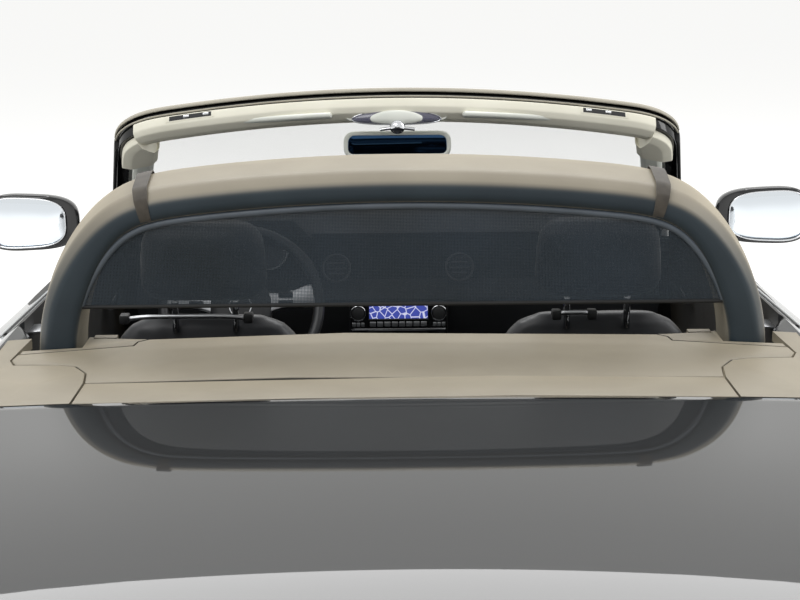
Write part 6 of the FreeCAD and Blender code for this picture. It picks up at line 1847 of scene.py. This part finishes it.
makeDashboard()
makeSteeringWheel()
makeConsole()
print("dashboard, steering wheel and console made")


# Lamps, intake, rear ledge and tail pipes

lampParts = {
    "lens": 2.5, "bowl": 27, "shrink": 0.985,
    "headUnits": ((588, 618, 47), (690, 646, 36)), "tailUnits": ((655, 772, 36), (722, 782, 30)), "fogUnit": 37,
}


def openingSheet(name, key, inward, shrink, thick):  # the face of an opening, set back into it
    forward = -1 if "tail" in key else 1
    sheet = bmesh.new()
    for plug in panelPlugs[key]:
        sheet.from_mesh(plug.data)
    sheet.normal_update()
    bmesh.ops.delete(sheet, geom=[face for face in sheet.faces if face.normal.y * forward < 0.06], context="FACES")
    bmesh.ops.delete(sheet, geom=[v for v in sheet.verts if not v.link_faces], context="VERTS")
    middle = sum((v.co for v in sheet.verts), Vector()) / len(sheet.verts)
    for v in sheet.verts:
        v.co = Vector((middle.x + (v.co.x - middle.x) * shrink, v.co.y - forward * inward * mm,
                       middle.z + (v.co.z - middle.z) * shrink))
    sheet.normal_update()
    return walledPiece(name, sheet, thick * mm)


def surfaceFinder(key):  # gives the place along the car of a lamp's face at (x, z) in mm
    forward = -1 if "tail" in key else 1
    points, faces = [], []
    for plug in panelPlugs[key]:
        start = len(points)
        points += [v.co.copy() for v in plug.data.vertices]
        faces += [[start + i for i in p.vertices] for p in plug.data.polygons]
    tree = BVHTree.FromPolygons(points, faces)

    def find(x, z):
        spot = tree.ray_cast(Vector((x * mm, forward * 3, z * mm)), Vector((0, -forward, 0)))[0]
        if spot is None:
            spot = tree.find_nearest(Vector((x * mm, forward * 2.1, z * mm)))[0]
        return spot.y / mm
    return find


def lampUnit(name, find, forward, x, z, steps, look):  # rings of (radius, depth behind the lens) about one middle
    rings = [[at(x + r * math.cos(a), find(x + r * math.cos(a), z + r * math.sin(a)) - forward * d,
                      z + r * math.sin(a)) for a in turns(40)] for r, d in steps]
    settle(sweptPiece(name, rings), look, "trim", angle=50)


def makeLamps():
    for sideName, side in leftRight:
        for kind, forward, units in (("headlamp_", 1, lampParts["headUnits"]),
                                     ("tail_lamp_", -1, lampParts["tailUnits"])):
            key = kind + sideName
            head = forward > 0
            lens = openingSheet(key + "_lens", key, 0, 1, lampParts["lens"])
            settle(lens, "clearLens" if head else "redLens", "headlamp" if head else "tail_lamp", key)
            bowl = openingSheet(key + "_bowl", key, lampParts["bowl"], lampParts["shrink"], 2)
            settle(bowl, "lampBowl" if head else "redBowl", "headlamp" if head else "tail_lamp")
            find = surfaceFinder(key)
            for number, (x, z, r) in enumerate(units):
                place = (find, forward, side * x, z)
                rim = ((r, 26), (r, 11), (r - 3, 9.5), (r - 5, 11.5), (r - 9, 20), (r - 12, 24), (r - 14, 26))
                lampUnit(f"{key}_reflector_{number}", *place, rim, "chrome")
                ball = ((r - 13, 26), (r - 13, 20), (r - 16, 14), (r - 22, 11), (2, 9.5))
                lampUnit(f"{key}_bulb_{number}", *place, ball, "lampGlass" if head else "redLens")
        key = "fog_" + sideName
        settle(openingSheet(key + "_cup", key, 26, 1.0, 2), "blackPlastic", "trim")
        find = surfaceFinder(key)
        r, x, z = lampParts["fogUnit"], side * grilleForm["fogX"], grilleForm["fogZ"]
        rim = ((r, 26), (r, 12), (r - 3, 10.5), (r - 5, 13), (r - 12, 24))
        lampUnit(key + "_ring", find, 1, x, z, rim, "chrome")
        lampUnit(key + "_glass", find, 1, x, z, ((r - 4, 25), (r - 4, 16), (r - 14, 12.5), (2, 11.5)), "lampGlass")


def wireTree(group):  # every edge of a net of points made a thin round wire
    inputs = treeInputs(group, (("Net", "Object"), ("Radius", "Float"), ("Plastic", "Material")))
    net = addNode(group, "GeometryNodeObjectInfo", {}, {"Object": inputs["Net"]})
    lines = addNode(group, "GeometryNodeMeshToCurve", {}, {"Mesh": net.outputs["Geometry"]})
    ring = addNode(group, "GeometryNodeCurvePrimitiveCircle", {"Resolution": 5}, {"Radius": inputs["Radius"]})
    wire = addNode(group, "GeometryNodeCurveToMesh", {"Fill Caps": True}, {
        "Curve": lines.outputs["Curve"], "Profile Curve": ring.outputs["Curve"]})
    treeOutput(group, wire.outputs["Mesh"], inputs["Plastic"])


intakeNet = {"pitch": 21, "row": 11, "depth": 15, "wire": 1.6}


def makeIntake():  # lower intake: a dark back and a net of diamonds that follows the bumper
    settle(openingSheet("intake_back", "intake", 27, 1.0, 2), "blackPlastic", "trim")
    find = surfaceFinder("intake")
    half, low, high = grilleForm["intakeHalf"], grilleForm["intakeLow"], grilleForm["intakeHigh"]
    points, edges, number = [], [], {}
    rows = int((high - low) / intakeNet["row"])
    columns = int(2 * half / intakeNet["pitch"])

    def corner(i, j):
        x, z = -half + (i + 0.5 * (j % 2)) * 2 * half / columns, low + j * (high - low) / rows
        bow = (half - abs(x)) / 56
        if x > half or bow < 1 and abs(z - (low + high) / 2) > (high
                                                                - low) / 2 * math.sqrt(max(1 - (1 - bow) ** 2, 0)):
            return None
        if (i, j) not in number:
            number[i, j] = len(points)
            points.append(at(x, find(x, min(max(z, low + 2), high - 2)) - intakeNet["depth"], z))
        return number[i, j]

    for j in range(rows):
        for i in range(columns + 1):
            here = corner(i, j)
            for other in (corner(i, j + 1), corner(i + (1 if j % 2 else -1), j + 1)):
                if here is not None and other is not None:
                    edges.append((here, other))
    net = meshPiece("intake_points", points, [], edges)
    wires = grown("intake_net", wireTree,
                  {"Net": net, "Radius": intakeNet["wire"] * mm, "Plastic": finish["blackPlastic"]})
    bpy.data.objects.remove(net)
    settle(wires, "blackPlastic", "trim", angle=60)


def makeLedge():  # painted strip of the tail between the boot lid's lower edge and the bumper
    half = body["lidFaceHalf"] - 1
    rows = [[tailPoint(x, z) + Vector((0, 1.5, 0)) for x in spread(-half, half, 61)]
            for z in spread(body["rearBumperTop"] + 3, body["lidFaceLow"] - 4, 9)]
    paintPanel(panelSkin("rear_ledge", [rows], 1, 16))


tailPipe = {"x": 330, "z": 235, "radius": 40, "thick": 2.2, "rear": -2268, "front": -2150}


def makePipeEnds():
    form, r, rear = tailPipe, tailPipe["radius"], tailPipe["rear"]
    inner = r - form["thick"]
    pipe = ((r, form["front"]), (r, rear + 2), (r - 1, rear), (inner, rear + 1), (inner - 1, rear + 5.5),
            (r - 1.5, rear + 6.5), (r - 1.5, form["front"]))
    mouth = ((r - 2, rear + 7.6), (r - 2, rear + 6.6), (2, rear + 6.4))
    for sideName, side in leftRight:
        def ringsOf(steps):
            return [[at(side * form["x"] + u * math.cos(a), y, form["z"] + u * math.sin(a)) for a in turns(56)]
                    for u, y in steps]

        end = sweptPiece("tail_pipe_end_" + sideName, ringsOf(pipe), closed=True)
        settle(end, "chrome", "exhaust", angle=40)
        outline = [(x, max(z, 204)) for x, z in ellipseOutline(side * form["x"], form["z"], 99, 47)]
        shield = prismAlongY("tail_pipe_shield_" + sideName, outline, -2232, -2229)
        settle(shield, "blackPlastic", "trim", angle=40)
        dark = sweptPiece("tail_pipe_mouth_" + sideName, ringsOf(mouth))
        settle(dark, "structure", "exhaust", angle=40)


makeLamps()
makeIntake()
makeLedge()
makePipeEnds()
for plugs in panelPlugs.values():
    for plug in plugs:
        bpy.data.objects.remove(plug)
print("lamps, intake and tail made")


def paintNodes():  # the CAD nodes that stay get their finish
    looks = {
        "underbody": "structure", "boot_tub": "structure", "front_axle": "structure", "rear_axle": "structure",
        "engine": "castGrey", "knuckle_left": "castGrey", "knuckle_right": "castGrey", "exhaust": "steel",
        "grille": "blackPlastic", "cowl_panel": "blackPlastic", "wipers": "blackPlastic", "rear_partition": "dash",
    }
    for name, look in looks.items():
        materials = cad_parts[name].data.materials
        materials.clear()
        materials.append(finish[look])


paintNodes()


# Camera at the photograph's place, and a plain studio

def makeCamera():
    view = {"place": (-0.024, -3.94, 1.737), "pitchDown": 13.3, "yaw": -0.0065, "roll": -0.5, "lens": 80.1}
    lens = bpy.data.cameras.new("camera")
    lens.lens, lens.sensor_width = view["lens"], 36
    lens.clip_end = 200
    camera = newPiece("camera", lens)
    turned = (Matrix.Rotation(view["yaw"], 4, "Z") @ Matrix.Rotation(math.radians(90 - view["pitchDown"]), 4, "X")
              @ Matrix.Rotation(math.radians(view["roll"]), 4, "Z"))
    camera.matrix_world = Matrix.Translation(view["place"]) @ turned
    bpy.context.scene.camera = camera


def seenRays(tree):  # 1 for a ray that the camera, a reflection or a glass sees, else 0
    path = addNode(tree, "ShaderNodeLightPath")
    seen = addNode(tree, "ShaderNodeMath", {"operation": "MAXIMUM"},
                   {0: path.outputs["Is Camera Ray"], 1: path.outputs["Is Glossy Ray"]})
    both = addNode(tree, "ShaderNodeMath", {"operation": "MAXIMUM"},
                   {0: seen.outputs["Value"], 1: path.outputs["Is Transmission Ray"]})
    return both.outputs["Value"]


def makeStudio():
    scene = bpy.context.scene
    scene.view_settings.view_transform = "Standard"
    world = bpy.data.worlds.new("studio")
    scene.world = world
    world.use_nodes = True
    tree = world.node_tree
    tree.nodes.clear()
    seen = seenRays(tree)
    room = addNode(tree, "ShaderNodeBackground", {"Color": "#FFFFFF", "Strength": 0.75})
    backdrop = addNode(tree, "ShaderNodeBackground", {"Color": "#F4F4F2", "Strength": 1.0})
    chosen = addNode(tree, "ShaderNodeMixShader", {}, {
        0: seen, 1: room.outputs["Background"], 2: backdrop.outputs["Background"]})
    addNode(tree, "ShaderNodeOutputWorld", {}, {"Surface": chosen.outputs["Shader"]})
    floor = meshPiece("floor", [(-60, -60, 0), (60, -60, 0), (60, 90, 0), (-60, 90, 0)], [(0, 1, 2, 3)])
    pale = bpy.data.materials.new("pale floor")
    pale.use_nodes = True
    tree = pale.node_tree
    tree.nodes.clear()
    seen = seenRays(tree)
    matt = addNode(tree, "ShaderNodeBsdfDiffuse", {"Color": "#EDEDEB"})
    lift = addNode(tree, "ShaderNodeMath", {"operation": "MULTIPLY", 1: 0.3}, {0: seen})
    glow = addNode(tree, "ShaderNodeEmission", {"Color": "#FFFFFF"}, {"Strength": lift.outputs["Value"]})
    total = addNode(tree, "ShaderNodeAddShader", {}, {0: matt.outputs["BSDF"], 1: glow.outputs["Emission"]})
    addNode(tree, "ShaderNodeOutputMaterial", {}, {"Surface": total.outputs["Shader"]})
    floor.data.materials.append(pale)
    lamps = (  # name, place, aimed at, width, depth, watts
        ("softbox over the bonnet", (0.0, 2.6, 5.6), (0, 0.4, 0.6), 6.0, 2.6, 210),
        ("softbox over the tail", (-2.2, -3.8, 5.2), (0, -1.0, 0.8), 4.0, 2.4, 120),
        ("softbox at the right", (5.6, -0.5, 3.8), (0, 0, 0.6), 2.0, 5.0, 120),
    )
    for name, place, target, width, depth, watts in lamps:
        lamp = bpy.data.lights.new(name, "AREA")
        lamp.shape, lamp.size, lamp.size_y, lamp.energy = "RECTANGLE", width, depth, watts
        box = newPiece(name, lamp)
        aim = (Vector(target) - Vector(place)).to_track_quat("-Z", "Y").to_matrix().to_4x4()
        box.matrix_world = Matrix.Translation(place) @ aim


makeCamera()
makeStudio()

print("scene made")
